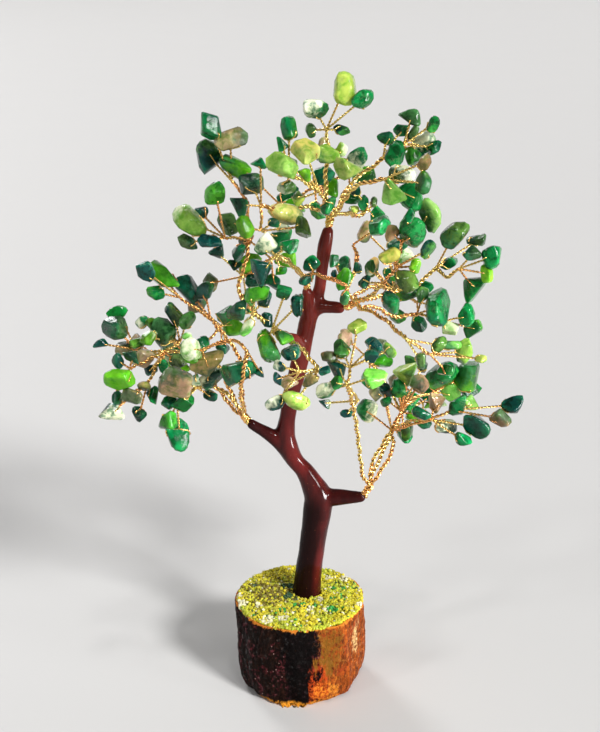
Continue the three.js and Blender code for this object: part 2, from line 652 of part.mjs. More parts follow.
// A cord of twisted wire, with a ring at every bend and at even steps between them
function makeCord(points, { path, radii }) {
  const rings = [];
  const sizes = [];
  path.forEach((index, k) => {
    if (k > 0) {
      const before = points[path[k - 1]].at;
      const count = Math.ceil(before.distanceTo(points[index].at) / CORD_STEP);
      for (let i = 1; i < count; i += 1) {
        rings.push(before.clone().lerp(points[index].at, i / count));
        sizes.push(THREE.MathUtils.lerp(radii[k - 1], radii[k], i / count));
      }
    }
    rings.push(points[index].at);
    sizes.push(radii[k]);
  });
  return toSolid(rod(rings, sizes, CORD_SIDES));
}

function makeTwig(points, { hub, point }) {
  return toSolid(rod([points[hub].at, points[point].at], [TWIG_RADIUS, TWIG_RADIUS], TWIG_SIDES));
}

// The knot where a limb's twigs part
function makeKnot(points, hub) {
  const knot = new THREE.TetrahedronGeometry(KNOT_RADIUS);
  knot.translate(...points[hub].at.toArray());
  return toSolid(knot);
}

function makeChip(points, { point, length, shape }) {
  const corners = shape.map((corner) => corner.clone().multiplyScalar(length).add(points[point].at));
  return toSolid(new ConvexGeometry(corners));
}

function makeBough({ points, cords, chips }, owner) {
  const wire = cords.filter((cord) => cord.owner === owner).map((cord) => makeCord(points, cord));
  const own = chips.filter((chip) => chip.owner === owner);
  const knots = [...new Set(own.map((chip) => chip.hub))].map((hub) => makeKnot(points, hub));
  return fuse([
    ...wire,
    ...knots,
    ...own.map((chip) => makeTwig(points, chip)),
    ...own.map((chip) => makeChip(points, chip)),
  ]);
}

// ---- the tree --------------------------------------------------------------------------------

const BARK = new THREE.MeshStandardMaterial({ color: 0x5b3220, roughness: 0.7, metalness: 0 });
const GRIT = new THREE.MeshStandardMaterial({ color: 0xb9bf5e, roughness: 0.95, metalness: 0 });
const LACQUER = new THREE.MeshStandardMaterial({ color: 0x4a160f, roughness: 0.2, metalness: 0 });
const JADE = new THREE.MeshStandardMaterial({ color: 0x2f8f46, roughness: 0.2, metalness: 0 });

const group = new THREE.Group();

function addPart(name, solid, material) {
  const mesh = new THREE.Mesh(toGeometry(solid), material);
  mesh.name = name;
  group.add(mesh);
}

addPart("log_base", makeLog(), BARK);
addPart("ground_cover", makeCover(), GRIT);
addPart("trunk", makeTrunk(), LACQUER);
const layout = layOut();
bendClear(layout);
for (const owner of Object.keys(BOUGHS)) {
  addPart(`bough_${owner}`, makeBough(layout, owner), JADE);
}

export default group;
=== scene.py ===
import math
from functools import cache

import bmesh
import bpy
import numpy as np
from bpy.props import FloatProperty, FloatVectorProperty, IntProperty, PointerProperty
from mathutils import Matrix, Vector, noise
from mathutils.bvhtree import BVHTree


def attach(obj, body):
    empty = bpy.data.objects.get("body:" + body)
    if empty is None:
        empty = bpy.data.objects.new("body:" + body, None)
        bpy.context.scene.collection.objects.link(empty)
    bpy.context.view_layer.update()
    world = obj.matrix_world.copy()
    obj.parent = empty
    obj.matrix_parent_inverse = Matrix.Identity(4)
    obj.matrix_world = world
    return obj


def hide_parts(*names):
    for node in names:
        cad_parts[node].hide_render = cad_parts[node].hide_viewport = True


# Jade chip bonsai: a varnished slice of log with crushed stone glued on it, a lacquered trunk, boughs of
# twisted wire, and a tumbled jade chip threaded on every twig. Shapes are worked out in millimetres and
# finished in metres, in the frame's own axes: +Z up, the tree facing -Y.

bl_info = {
    "name": "Jade chip bonsai",
    "version": (1, 0, 0),
    "blender": (4, 5, 0),
    "location": "3D View > Sidebar > Bonsai",
    "description": "Builds the log, trunk, wire boughs and jade chips of a small gem tree",
    "category": "Add Mesh",
}

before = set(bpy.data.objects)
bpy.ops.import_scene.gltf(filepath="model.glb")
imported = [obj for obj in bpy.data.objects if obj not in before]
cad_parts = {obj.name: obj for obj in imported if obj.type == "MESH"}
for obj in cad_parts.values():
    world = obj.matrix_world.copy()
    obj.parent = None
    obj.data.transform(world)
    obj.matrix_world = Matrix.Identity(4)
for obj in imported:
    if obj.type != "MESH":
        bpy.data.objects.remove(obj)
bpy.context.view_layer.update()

MM = 0.001

# ---- sizes shared with the solids, in millimetres ------------------------------------------------

LOG_TOP = 35
SEAT_GAP = 0.3
TRUNK_FOOT = (2.8, 4)
FOOT_RADIUS = 5.2
FOOT_DEPTH = 8
# Centre lines (x, y, z, radius): the trunk's, from its foot in the log to the crown's tip, and the stubs'
TRUNK = [
    (*TRUNK_FOOT, LOG_TOP - FOOT_DEPTH, FOOT_RADIUS), (*TRUNK_FOOT, 36, FOOT_RADIUS), (3.2, 4, 41, 5.8),
    (3.7, 4, 47, 5.6), (5, 3.4, 58, 5.4), (6.4, 2.4, 70, 5.6), (7.3, 1.8, 78, 5.9), (7.6, 1.6, 83.5, 5.9),
    (5, 1.2, 90, 5), (1.6, 0.6, 96, 4.5), (-2.6, 0.2, 101, 4.3), (-5.2, 0, 107.4, 4.4), (-6, 0, 113, 3.9),
    (-5.1, 0.3, 120, 3.4), (-3.4, 0.8, 130, 3.4), (-1, 1.6, 139.4, 3.6), (0.9, 2, 148, 3.5),
    (3.1, 2, 160, 3.5), (5.4, 2, 167, 3.3), (7.7, 2, 174, 2.4), (8.7, 2, 183, 2.4), (9.5, 2, 190, 2.8),
    (10.9, 2, 198, 2.5),
]
STUBS = {
    "right_low": [(7, 1.6, 82.6, 4.4), (12, 1, 83.6, 3.8), (17, 0, 84.2, 3.4), (22.8, -1, 84.7, 3),
        (26.1, -2, 85.2, 2.6)],
    "left_low": [(-3.4, 0.3, 103.4, 3.8), (-7.4, -0.2, 108.4, 3.4), (-11.8, -1, 112.4, 2.9),
        (-16.4, -2, 115.8, 2.6), (-20.2, -3, 118.7, 2.5)],
    "left_mid": [(0.6, 2, 147, 2.8), (-0.6, -1.5, 151.5, 2.7), (-2.2, -5.5, 155, 2.6),
        (-3.9, -9, 157.1, 2.5)],
    "right_mid": [(4.4, 2, 164, 2.9), (8, 1, 166.6, 2.8), (12, -1, 167.3, 2.6), (16.5, -3, 167.5, 2.5)],
    "left_up": [(3.8, 2, 158, 2.7), (3.4, 0.6, 164, 2.6), (3.1, -0.6, 169.5, 2.5), (2.8, -1.5, 174.4, 2.5)],
    "crown": TRUNK[-2:],
}
SIDE_STUBS = [stub for stub in STUBS if stub != "crown"]

# A bough's root stands in its stub's end, its limbs are cords, and a twig holds each chip
ROOT_CIRCLE = 1.05
ROOT_LENGTH = 3.4
EXIT = 0.8
ROOT_RADIUS = 0.5
CORD_RADIUS = 0.75
TWIG_RADIUS = 0.52
CHIP_CORNERS = 8
CHIP_SWELL = 1.14
CHIP_WIDTH = (0.62, 0.86)
CHIP_THICKNESS = (0.44, 0.64)
CHIP_TURN = 0.1
CHIP_TILT = 0.6
CHIP_LEAN = 0.7
CHIP_SHIFT = 2
DEPTH_FALL = math.radians(20)
GOLDEN_ANGLE = 137.5
RING_REACH = 10
RING_LENGTH = 10
RING_LIE = 70
RING_SHADES = "gdogldgtdp"
CHIP_SEED = 20298

# How the boughs are bent clear of each other
CLEAR = 0.6
TOUCH = 0.8
CHIP_BALL = 0.47
BALL_STEP = 2
ROUNDS = 120
SEARCH_EVERY = 30
SEARCH_REACH = 7
PUSH_SHARE = 0.25
LONGEST_PUSH = 1
LEAST_GAP = 0.01
HOME_PULL = 0.02
ROUTE_FREEDOM = 0.5
WOOD = "wood"

# ---- sizes of the dressing, in millimetres -------------------------------------------------------

# The log: its side as (height, share of its radius), the rings of its underside and of the rim of bark
# round its top, the bark's relief, and the knot and the lip of inner bark in front, at angles in degrees
LOG_PROFILE = (
    (0, 0.885), (1.4, 0.945), (5, 0.985), (13, 1), (22, 0.995), (30, 1.003), (35.6, 1), (36.9, 0.982),
)
LOG_ROW = 0.625
LOG_SIDES = 240
LOG_UNDERSIDE = (0, 0.5, 0.97)
LOG_RIM = (0.96, 0.945)
LOG_RIM_DROP = 0.2
RIDGE_HEIGHT = 0.55
FLAKE_HEIGHT = 0.35
CRACK_WIDTH = 0.1
WORN_SHARE = 0.4
KNOT_ANGLE = -74
KNOT_HALF_ANGLE = 7
KNOT_HEIGHT = 11
KNOT_HALF_HEIGHT = 7
KNOT_RIM = 0.5
KNOT_HOLLOW = 0.7
LIP_ANGLE = -99
LIP_HALF_ANGLE = 17
LIP_HEIGHT = 2.2
LIP_DEPTH = 3.2

# The crushed stone: its bed's rim as (share of the radius, height above the base), and the grains
COVER_BASE = LOG_TOP + SEAT_GAP
COVER_TOP = COVER_BASE + 2
COVER_LUMPS = 0.75
BED_RIM = ((0, 0), (0.9, 0), (0.95, 0.5), (0.94, 1.3), (0.9, 1.7))
BED_FLAT = 0.86
BED_ROWS = 14
BED_SIDES = 96
BED_SINK = 0.1
BED_ROUGH_FROM = 0.88
BED_ROUGHNESS = 0.02
GRAIN_SEED = 811
GRAIN_STRETCH = ((0.7, 1.3), (0.7, 1.2), (0.6, 0.9))
GRAIN_SINK = (-0.4, 0.35)
TOP_REACH = 0.955
RIM_SHARE = 0.2
RIM_REACH = (0.93, 0.97)
RIM_HEIGHT = (1, 2.1)
CLUMP_SHARE = 0.85
ICOSPHERE_CORNERS = 12
HEAP = 200
# Where the trunk's shadow is painted in brown grains left of it: its middle (x, y) and spread
PAINTED_SHADOW_PLACE = (-12, 4)
PAINTED_SHADOW_REACH = 9
# Grains of other kinds: how many stray ones, as shares that add up, and where they lie close together, as
# (x, y, radius)
STRAYS = (("white", 0.05), ("green", 0.06), ("dark", 0.07))
CLUMPS = {
    "white": [
        (-25.4, -6.3, 3), (-26, 0.5, 2), (-17.6, -7.7, 1.6), (-13.3, -19.7, 2.6), (-6.8, -18.2, 2.6),
        (8.3, -2.6, 1.9), (3.9, -10.8, 1.8), (19.6, 14.7, 2.6), (12.7, 16.2, 2), (25, -6.3, 1.8),
        (11.2, -12.4, 1.4),
    ],
    "dark": [(-20, 8.7, 1.8), (-5, 8.5, 2.3), (-5.4, 0, 2.2), (-2.4, -2.5, 1.5)],
    "green": [
        (-7.8, -11.2, 1.5), (13.5, -11.6, 2.3), (-18.2, -15.7, 1.2), (14.6, 7.6, 1.2), (18.8, 6, 1.2),
        (22.9, 6, 1.2), (6.2, -7.7, 1.5), (18, -2.5, 1.4), (13.5, -1, 1.5), (-1.8, -7, 1.2),
        (0.8, -7.4, 1.1),
    ],
}

# The trunk: swellings as (size, height, spread), tapers and forks in shares of a limb's radius
LIMB_STEP = 0.8
LIMB_ROUNDNESS = 6
FOOT_FLARE = (1, LOG_TOP, 4)
ELBOW_PUSH = (0.5, 101, 5.5)
ELBOW_SLIM = (0.85, 98.5, 8)
STUB_TAPER = 0.2
TIP_LENGTH = 8
TIP_SINK = 0.45
FORK_SWELL = 0.95
FORK_SHIFT = 0.6
SMOOTHING_LOSS = 0.12

# Chips. A clear one is less cloudy than the others.
STONE_SEED = 4409
STONE_FULLNESS = 1.02
BLUNTNESS = 2.4
BELT_SPREAD = 1.12
FACE_HEIGHT = 0.92
FLAT_ANGLE = 14
COLOUR_FACTOR = 7919
SHADES = {"g": "emerald", "d": "forest", "p": "pale", "l": "lime", "o": "olive", "t": "tan", "y": "yellow"}
CLEAR_SHADES = "plty"
CLEAR_CLOUDINESS = 0.2
CLOUDINESS = 0.85
# How many chips have a white, dark or lime end, as shares that add up
WHITE_ENDS = 0.14
DARK_ENDS = 0.52
LIME_ENDS = 0.66

# Wire: its tones from 0 for gold to 1 for copper, the steps of its lines, its strands' way over a chip and
# into the hole, how a rooted or a second cord differs, and the bundle near a stub's end
WIRE_FACTOR = 31
WIRE_TONES = {
    "left_mid_gold": 0.0, "left_mid_front": 0.1, "left_low_far": 0.35, "right_low_rise": 0.15,
    "right_low_fan": 0.45, "right_mid_low": 0.4, "right_mid_up": 0.3, "crown_top": 0.1,
    "crown_left": 0.25, "crown_right": 0.2, "left_up_front": 0.05,
}
PLAIN_TONE = 0.5
CORD_TONE_SPREAD = 0.2
CORD_TONE_STEP = 0.2
TWIG_TONE_SPREAD = 0.25
TWIG_TONE_STEP = 0.15
SPAN_STEPS = 24
TURN_STEPS = 8
OVER_STEP = 0.45
OVER_SHARES = (0.06, 0.3, 0.6, 0.88)
HOLE_SHARE = 0.33
HOLE_END = 1.05
SHORTEST_STEM = 0.3
STEM_GAP = 0.5
STRAND_SWELL = 1.04
STRAND_LIFT = 0.75
PAST_CHIP = 40
ABOVE_CHIP = 30
ROOTED_SHARE = 1.3
ROOTED_PITCH = 1.15
SECOND_SHARE = 0.85
CORD_SHIFTS = (0.3, 1.2)
CORD_WANDER = 0.24
WANDER_PACE = (0.5, 0.8)
GATHER_START = 4
GATHER_END = 10
GATHER_RADIUS = 0.95
GATHER_PITCH = 9

# ---- the stage, in metres and degrees, with the image's sizes in pixels --------------------------

FLOOR_REACH = 6
FLOOR_RISE = 3.5
FLOOR_SIDES = 96
FLOOR_ROWS = 13
TREE_MIDDLE = (0, 0, 0.13)
STRIP_PLACE = (0.315, -0.153, 0.125)
STRIP_AIM = (0, 0, 0.125)
STRIP_SIZE = (0.08, 0.16)
STRIP_SPREAD = 32
CAMERA_PLACE = (0, -0.4896, 0.3204)
CAMERA_TILT = 70
SENSOR_WIDTH = 36
IMAGE_HEIGHT = 732
FOCAL_LENGTH = 1300


# A limb starts at the bough's root (-1) or at the end of an earlier limb, follows its route, and fans out
# in twigs (bearing, reach, chip length, lie, shade), with bearing and lie in degrees from +X towards +Z.
def limb(start, route, twigs):
    return start, route, twigs


def bough(stub, limbs):
    return stub, limbs


def ring(count):
    """Twigs all round the end of a limb at the back."""
    return [
        (GOLDEN_ANGLE * k, RING_REACH * (0.55 + 0.45 * (2 * k % 3)), RING_LENGTH - k % 3, RING_LIE * k,
            RING_SHADES[(3 * k + count) % len(RING_SHADES)])
        for k in range(count)
    ]


BOUGHS = {
    "right_low_rise": bough("right_low", [
        limb(-1, [(26, -3, 94), (24, -8, 109), (22, -16, 125), (20, -22, 136), (18, -29, 145)], [
            (20, 10, 11, 25, "p"), (120, 8, 8, 155, "d"), (-165, 8, 10, 25, "g"), (165, 4, 6, 60, "g"),
        ]),
        limb(0, [(19, -26, 151)], [
            (115, 8, 8, 120, "o"), (150, 9, 7, 0, "t"), (80, 17, 9, 20, "p"), (45, 13, 7, 150, "d"),
            (30, 9, 6, 30, "d"), (25, 17, 7, 120, "p"),
        ]),
        limb(0, [(23, -12, 132)], [
            (-175, 13, 5, 160, "d"), (-130, 7, 5, 0, "d"),
        ]),
    ]),
    "right_low_fan": bough("right_low", [
        limb(-1, [(29, 0, 93), (30, 4, 98), (34, 6, 105), (38, 8, 111)], [
            (140, 13, 10, 110, "g"), (105, 13, 6, 20, "g"), (0, 6, 9, 80, "o"), (100, 18, 9, 120, "d"),
        ]),
        limb(-1, [(31, -4, 95), (36, -3, 103), (38, 1, 107)], []),
        limb(0, [(42, 12, 118)], [
            (100, 11, 8, 95, "g"), (85, 17, 11, 30, "p"), (80, 22, 6, 20, "o"), (65, 22, 8, 90, "o"),
            (60, 14, 9, 115, "t"),
        ]),
        limb(0, [(45, -5, 119), (52, -12, 124)], [
            (150, 5, 7, 170, "d"), (75, 7, 8, 160, "t"), (-25, 7, 10, 170, "d"), (-35, 14, 8, 155, "g"),
            (-10, 18, 12, 150, "d"),
        ]),
        limb(3, [(60, -12, 128)], [
            (35, 3, 9, 20, "g"), (15, 9, 7, 120, "p"), (-10, 19, 9, 155, "t"), (5, 25, 10, 10, "d"),
        ]),
        limb(2, [(50, 25, 119), (57, 32, 118)], [
            (65, 9, 16, 40, "g"), (5, 8, 11, 120, "p"), (30, 17, 14, 80, "l"), (5, 17, 9, 45, "g"),
        ]),
    ]),
    "right_mid_low": bough("right_mid", [
        limb(-1, [(20, -5, 168), (26, -10, 169), (32, -18, 168), (40, -28, 163)], [
            (-10, 13, 7, 45, "o"), (-60, 10, 7, 90, "o"),
        ]),
        limb(0, [(49, -28, 157)], [
            (25, 9, 7, 0, "p"), (5, 14, 11, 95, "p"), (-5, 19, 5, 0, "p"), (-45, 9, 7, 20, "g"),
        ]),
        limb(-1, [(20, 0, 167), (29, 7, 165), (38, 16, 158), (48, 19, 158)], [
            (30, 8, 16, 90, "g"), (70, 8, 7, 60, "p"),
        ]),
        limb(2, [(60, 22, 154)], [
            (15, 9, 9, 100, "g"), (-55, 4, 7, 160, "p"), (-15, 13, 9, 45, "l"),
        ]),
    ]),
    "right_mid_up": bough("right_mid", [
        limb(-1, [(21, 2, 168), (30, 10, 168), (39, 19, 168), (48, 22, 170), (56, 26, 176)], [
            (65, 15, 13, 45, "o"), (35, 21, 10, 0, "o"), (20, 6, 8, 25, "g"),
        ]),
        limb(0, [(59, 19, 174), (64, 16, 178)], [
            (50, 8, 7, 175, "o"), (20, 13, 11, 60, "g"), (-10, 11, 7, 95, "l"), (-50, 10, 12, 55, "g"),
        ]),
    ]),
    "right_mid_high": bough("right_mid", [
        limb(-1, [(20, -8, 172), (26, -19, 177), (31, -28, 185)], [
            (-70, 8, 11, 110, "g"), (130, 8, 6, 90, "o"), (175, 7, 6, 45, "d"),
        ]),
        limb(0, [(35, -32, 192)], [
            (120, 5, 10, 25, "y"), (-55, 6, 10, 125, "o"), (5, 7, 6, 90, "l"), (30, 12, 8, 65, "d"),
        ]),
        limb(1, [(38, -22, 199)], [
            (80, 11, 6, 45, "g"), (45, 5, 13, 115, "g"), (45, 14, 11, 120, "p"), (145, 5, 7, 65, "t"),
        ]),
        limb(-1, [(19, -6, 172), (18, -10, 177)], [
            (115, 12, 6, 90, "g"), (95, 10, 7, 90, "g"), (105, 4, 8, 90, "l"), (65, 10, 5, 95, "d"),
            (130, 8, 4, 90, "d"),
        ]),
        limb(3, [(22, 2, 185), (21, 9, 190)], [
            (35, 13, 10, 35, "g"),
        ]),
    ]),
    "crown_top": bough("crown", [
        limb(-1, [(12, 0, 204), (11, 2, 209), (10, 5, 218), (11, 5, 228)], [
            (-125, 2, 10, 165, "p"), (5, 5, 6, 95, "p"), (-50, 10, 11, 150, "p"),
        ]),
        limb(0, [(10, 5, 236)], [
            (65, 16, 13, 95, "p"), (35, 16, 9, 35, "g"), (125, 8, 10, 0, "g"), (180, 6, 6, 90, "o"),
            (0, 6, 6, 160, "d"),
        ]),
    ]),
    "crown_left": bough("crown", [
        limb(-1, [(11, -3, 205), (10, -13, 212), (7, -22, 218)], [
            (110, 15, 11, 160, "y"), (130, 8, 6, 120, "l"), (-165, 8, 6, 60, "p"), (-55, 6, 8, 60, "g"),
        ]),
        limb(0, [(0, -25, 223), (-4, -29, 225)], [
            (120, 4, 13, 150, "p"), (-105, 4, 7, 0, "o"), (100, 13, 6, 105, "g"), (90, 18, 10, 110, "g"),
        ]),
        limb(-1, [(10, 2, 204), (4, 5, 206), (-5, 5, 205), (-15, 2, 207)], [
            (110, 10, 11, 145, "o"), (90, 16, 6, 0, "g"), (-15, 10, 14, 175, "y"), (180, 8, 9, 115, "g"),
        ]),
        limb(2, [(-15, -1, 198)], [
            (170, 6, 9, 110, "l"), (-25, 8, 12, 45, "g"), (5, 16, 9, 100, "o"), (35, 6, 5, 0, "g"),
        ]),
    ]),
    "crown_right": bough("crown", [
        limb(-1, [(14, 4, 204), (17, 8, 210), (21, 12, 215), (26, 12, 219), (32, 9, 224)], [
            (80, 9, 8, 160, "g"), (20, 5, 12, 70, "g"), (60, 14, 6, 160, "g"),
        ]),
        limb(0, [(40, 12, 229)], [
            (75, 10, 9, 165, "o"), (50, 6, 6, 60, "o"), (35, 14, 8, 75, "g"), (10, 8, 10, 30, "g"),
            (-5, 12, 7, 60, "g"), (-50, 7, 10, 145, "d"),
        ]),
        limb(-1, [(14, -4, 205), (17, -13, 213), (21, -22, 220), (30, -29, 224)], [
            (20, 7, 10, 170, "o"), (20, 15, 6, 60, "t"), (-10, 14, 9, 75, "l"), (-35, 13, 11, 115, "g"),
            (-55, 6, 10, 140, "p"),
        ]),
        limb(-1, [(15, 2, 202), (19, 14, 201), (23, 26, 197), (28, 29, 199)], [
            (125, 10, 6, 100, "d"), (125, 4, 6, 80, "g"), (180, 6, 5, 90, "p"), (60, 4, 5, 90, "o"),
            (-35, 4, 7, 60, "g"),
        ]),
    ]),
    "left_up_front": bough("left_up", [
        limb(-1, [(1, -4, 181), (-4, -19, 190), (-9, -30, 196)], [
            (-130, 8, 10, 100, "d"), (35, 6, 7, 0, "g"), (-70, 6, 5, 50, "l"), (130, 5, 9, 70, "g"),
        ]),
    ]),
    "left_up_near": bough("left_up", [
        limb(-1, [(3, -6, 181), (5, -22, 187)], [
            (100, 4, 7, 30, "g"), (-140, 4, 6, 20, "d"),
        ]),
        limb(0, [(11, -33, 188), (17, -37, 187)], [
            (-100, 5, 5, 90, "p"),
        ]),
    ]),
    "left_mid_gold": bough("left_mid", [
        limb(-1, [(-7, -14, 159), (-11, -19, 163)], [
            (-30, 5, 9, 160, "l"), (-115, 8, 14, 110, "l"), (70, 16, 7, 150, "g"), (45, 14, 9, 95, "d"),
        ]),
        limb(-1, [(-8, -10, 160), (-12, -16, 165), (-18, -21, 171)], [
            (175, 6, 10, 50, "o"), (80, 8, 10, 60, "l"), (-110, 6, 8, 70, "p"), (-25, 6, 7, 125, "d"),
            (50, 7, 7, 70, "d"),
        ]),
    ]),
    "left_mid_tall": bough("left_mid", [
        limb(-1, [(-9, -4, 160), (-17, -2, 165), (-23, 3, 170), (-24, 6, 175), (-21, 6, 185),
            (-20, 10, 192)], [
            (-125, 7, 9, 80, "g"), (-120, 12, 5, 0, "d"), (145, 10, 11, 130, "o"),
        ]),
        limb(0, [(-29, 0, 195)], [
            (150, 15, 14, 145, "p"), (-175, 15, 7, 160, "o"), (135, 15, 7, 0, "d"),
            (100, 16, 10, 60, "g"), (-165, 6, 9, 0, "d"),
        ]),
        limb(0, [(-21, 10, 202), (-22, 13, 208), (-27, 16, 214)], [
            (110, 22, 11, 120, "g"), (130, 15, 13, 120, "d"), (90, 16, 12, 25, "t"),
            (75, 6, 14, 150, "l"),
        ]),
    ]),
    "left_mid_front": bough("left_mid", [
        limb(-1, [(-3, -16, 158), (1, -28, 159), (7, -34, 153)], [
            (-125, 5, 7, 20, "t"), (-10, 2, 5, 10, "d"), (-125, 15, 11, 150, "p"), (-155, 12, 7, 0, "t"),
        ]),
        limb(0, [(0, -41, 155)], [
            (115, 8, 8, 15, "d"), (165, 8, 5, 140, "d"), (-160, 9, 5, 100, "d"), (-125, 15, 8, 45, "d"),
        ]),
    ]),
    "left_low_near": bough("left_low", [
        limb(-1, [(-22, -8, 126), (-23, -19, 138), (-21, -25, 151), (-19, -22, 157)], [
            (-115, 10, 14, 25, "g"), (-65, 10, 5, 90, "d"),
        ]),
        limb(0, [(-25, -18, 159), (-32, -15, 157), (-38, -15, 154)], [
            (-175, 4, 11, 100, "l"), (-75, 5, 13, 5, "t"), (135, 8, 4, 0, "p"), (-75, 12, 10, 20, "d"),
        ]),
    ]),
    "left_low_far": bough("left_low", [
        limb(-1, [(-24, -3, 125), (-29, -2, 131), (-35, -1, 134), (-41, -8, 136)], [
            (160, 7, 15, 20, "t"), (-35, 6, 6, 135, "d"), (-130, 8, 9, 10, "g"),
        ]),
        limb(0, [(-49, -8, 129)], [
            (165, 3, 7, 170, "g"), (-115, 9, 11, 75, "g"), (-90, 15, 13, 100, "g"),
        ]),
        limb(-1, [(-25, 3, 121), (-30, 10, 130), (-35, 12, 140), (-45, 9, 145), (-55, 6, 146)], [
            (-35, 7, 8, 160, "o"), (-90, 6, 6, 60, "g"), (-130, 10, 6, 0, "d"), (-165, 9, 10, 10, "t"),
        ]),
        limb(2, [(-67, -8, 144)], [
            (-135, 6, 12, 160, "l"), (80, 5, 7, 150, "o"), (145, 6, 6, 80, "d"),
        ]),
        limb(2, [(-67, 12, 145)], [
            (175, 5, 8, 5, "t"), (170, 14, 6, 0, "d"), (130, 12, 13, 0, "o"), (115, 18, 9, 0, "g"),
            (70, 3, 8, 30, "o"),
        ]),
        limb(2, [(-49, 12, 148)], [
            (150, 7, 14, 120, "o"), (145, 15, 6, 150, "o"), (170, 12, 8, 30, "l"),
            (100, 12, 10, 110, "d"), (70, 10, 8, 55, "o"), (150, 18, 6, 45, "g"),
        ]),
        limb(2, [(-61, -5, 136)], [
            (-155, 14, 6, 90, "g"), (-140, 18, 11, 170, "d"), (-140, 7, 9, 150, "t"),
            (-65, 5, 7, 60, "g"), (-105, 13, 7, 140, "d"), (-160, 1, 5, 0, "t"),
        ]),
    ]),
    "left_low_arc": bough("left_low", [
        limb(-1, [(-23, 2, 121), (-24, 16, 126), (-25, 26, 135), (-30, 26, 144), (-37, 22, 155)], [
            (125, 15, 13, 130, "d"), (100, 12, 8, 45, "d"),
        ]),
        limb(0, [(-49, 19, 165)], [
            (130, 12, 14, 140, "l"), (140, 16, 9, 120, "d"), (165, 10, 8, 150, "g"),
        ]),
    ]),
    "right_low_back": bough("right_low", [
        limb(-1, [(30, 4, 92), (37, 16, 102), (44, 30, 110)], ring(4)),
        limb(0, [(54, 42, 110)], ring(4)),
        limb(0, [(36, 38, 122), (30, 42, 130)], ring(4)),
    ]),
    "right_mid_back": bough("right_mid", [
        limb(-1, [(22, 4, 170), (31, 18, 170), (40, 30, 164)], ring(4)),
        limb(0, [(50, 42, 156)], ring(4)),
        limb(0, [(38, 44, 176)], ring(4)),
    ]),
    "crown_back": bough("crown", [
        limb(-1, [(10, 8, 204), (9, 20, 210), (6, 32, 208)], ring(4)),
        limb(0, [(-8, 42, 198)], ring(4)),
        limb(0, [(20, 38, 212)], ring(4)),
    ]),
    "left_up_back": bough("left_up", [
        limb(-1, [(-1, 6, 180), (-6, 18, 182), (-12, 32, 178)], ring(4)),
        limb(0, [(-24, 40, 168)], ring(5)),
    ]),
    "left_low_back": bough("left_low", [
        limb(-1, [(-26, 3, 123), (-36, 15, 130), (-45, 28, 135)], ring(4)),
        limb(0, [(-58, 36, 130)], ring(4)),
        limb(0, [(-34, 40, 146)], ring(4)),
    ]),
}


# ---- where every wire and chip goes --------------------------------------------------------------


class Draw:
    """Park and Miller's generator, so that the tree is the same each time."""

    def __init__(self, first):
        self.seed = first

    def __call__(self, low, high):
        self.seed = (self.seed * 16807) % 2147483647
        return low + (high - low) * self.seed / 2147483647


def unit(vector):
    return vector / np.linalg.norm(vector)


def stub_end(stub):
    before, tip = (np.array(p[:3], float) for p in STUBS[stub][-2:])
    return tip, unit(tip - before)


def root_slots():
    """Where each bough's root stands on its stub's end: on one circle, on the side it sets out to."""
    slots = {}
    for stub in STUBS:
        tip, out = stub_end(stub)
        across = unit(np.cross((0, 1, 0), out))
        up = np.cross(out, across)
        headings = []
        for name, (own_stub, limbs) in BOUGHS.items():
            if own_stub == stub:
                away = sum(np.array(route[1], float) - tip for start, route, _ in limbs if start < 0)
                headings.append((math.atan2(away @ up, away @ across), name))
        headings.sort(key=lambda heading: heading[0])
        step = 2 * math.pi / len(headings)
        drift = sum(angle - k * step for k, (angle, _) in enumerate(headings)) / len(headings)
        for k, (_, name) in enumerate(headings):
            angle = drift + k * step
            slots[name] = ROOT_CIRCLE * (across * math.cos(angle) + up * math.sin(angle))
    return slots


def chip_axes(lie, draw):
    """The long, wide and thin half axes of a chip of length 1."""
    angle = math.radians(lie) + draw(-CHIP_TURN, CHIP_TURN)
    tilt = draw(-CHIP_TILT, CHIP_TILT)
    roll = draw(0, math.pi)
    half = [0.5 * CHIP_SWELL * share for share in (1, draw(*CHIP_WIDTH), draw(*CHIP_THICKNESS))]
    along = unit(np.array((math.cos(angle), math.tan(tilt), math.sin(angle))))
    side = np.array((-math.sin(angle), 0, math.cos(angle)))
    wide = side * math.cos(roll) + np.cross(along, side) * math.sin(roll)
    thin = np.cross(along, wide)
    # the solids' chips draw twice for each of their corners here, so that both trees stay alike
    for _ in range(2 * CHIP_CORNERS):
        draw(0, 1)
    return along * half[0], wide * half[1], thin * half[2]


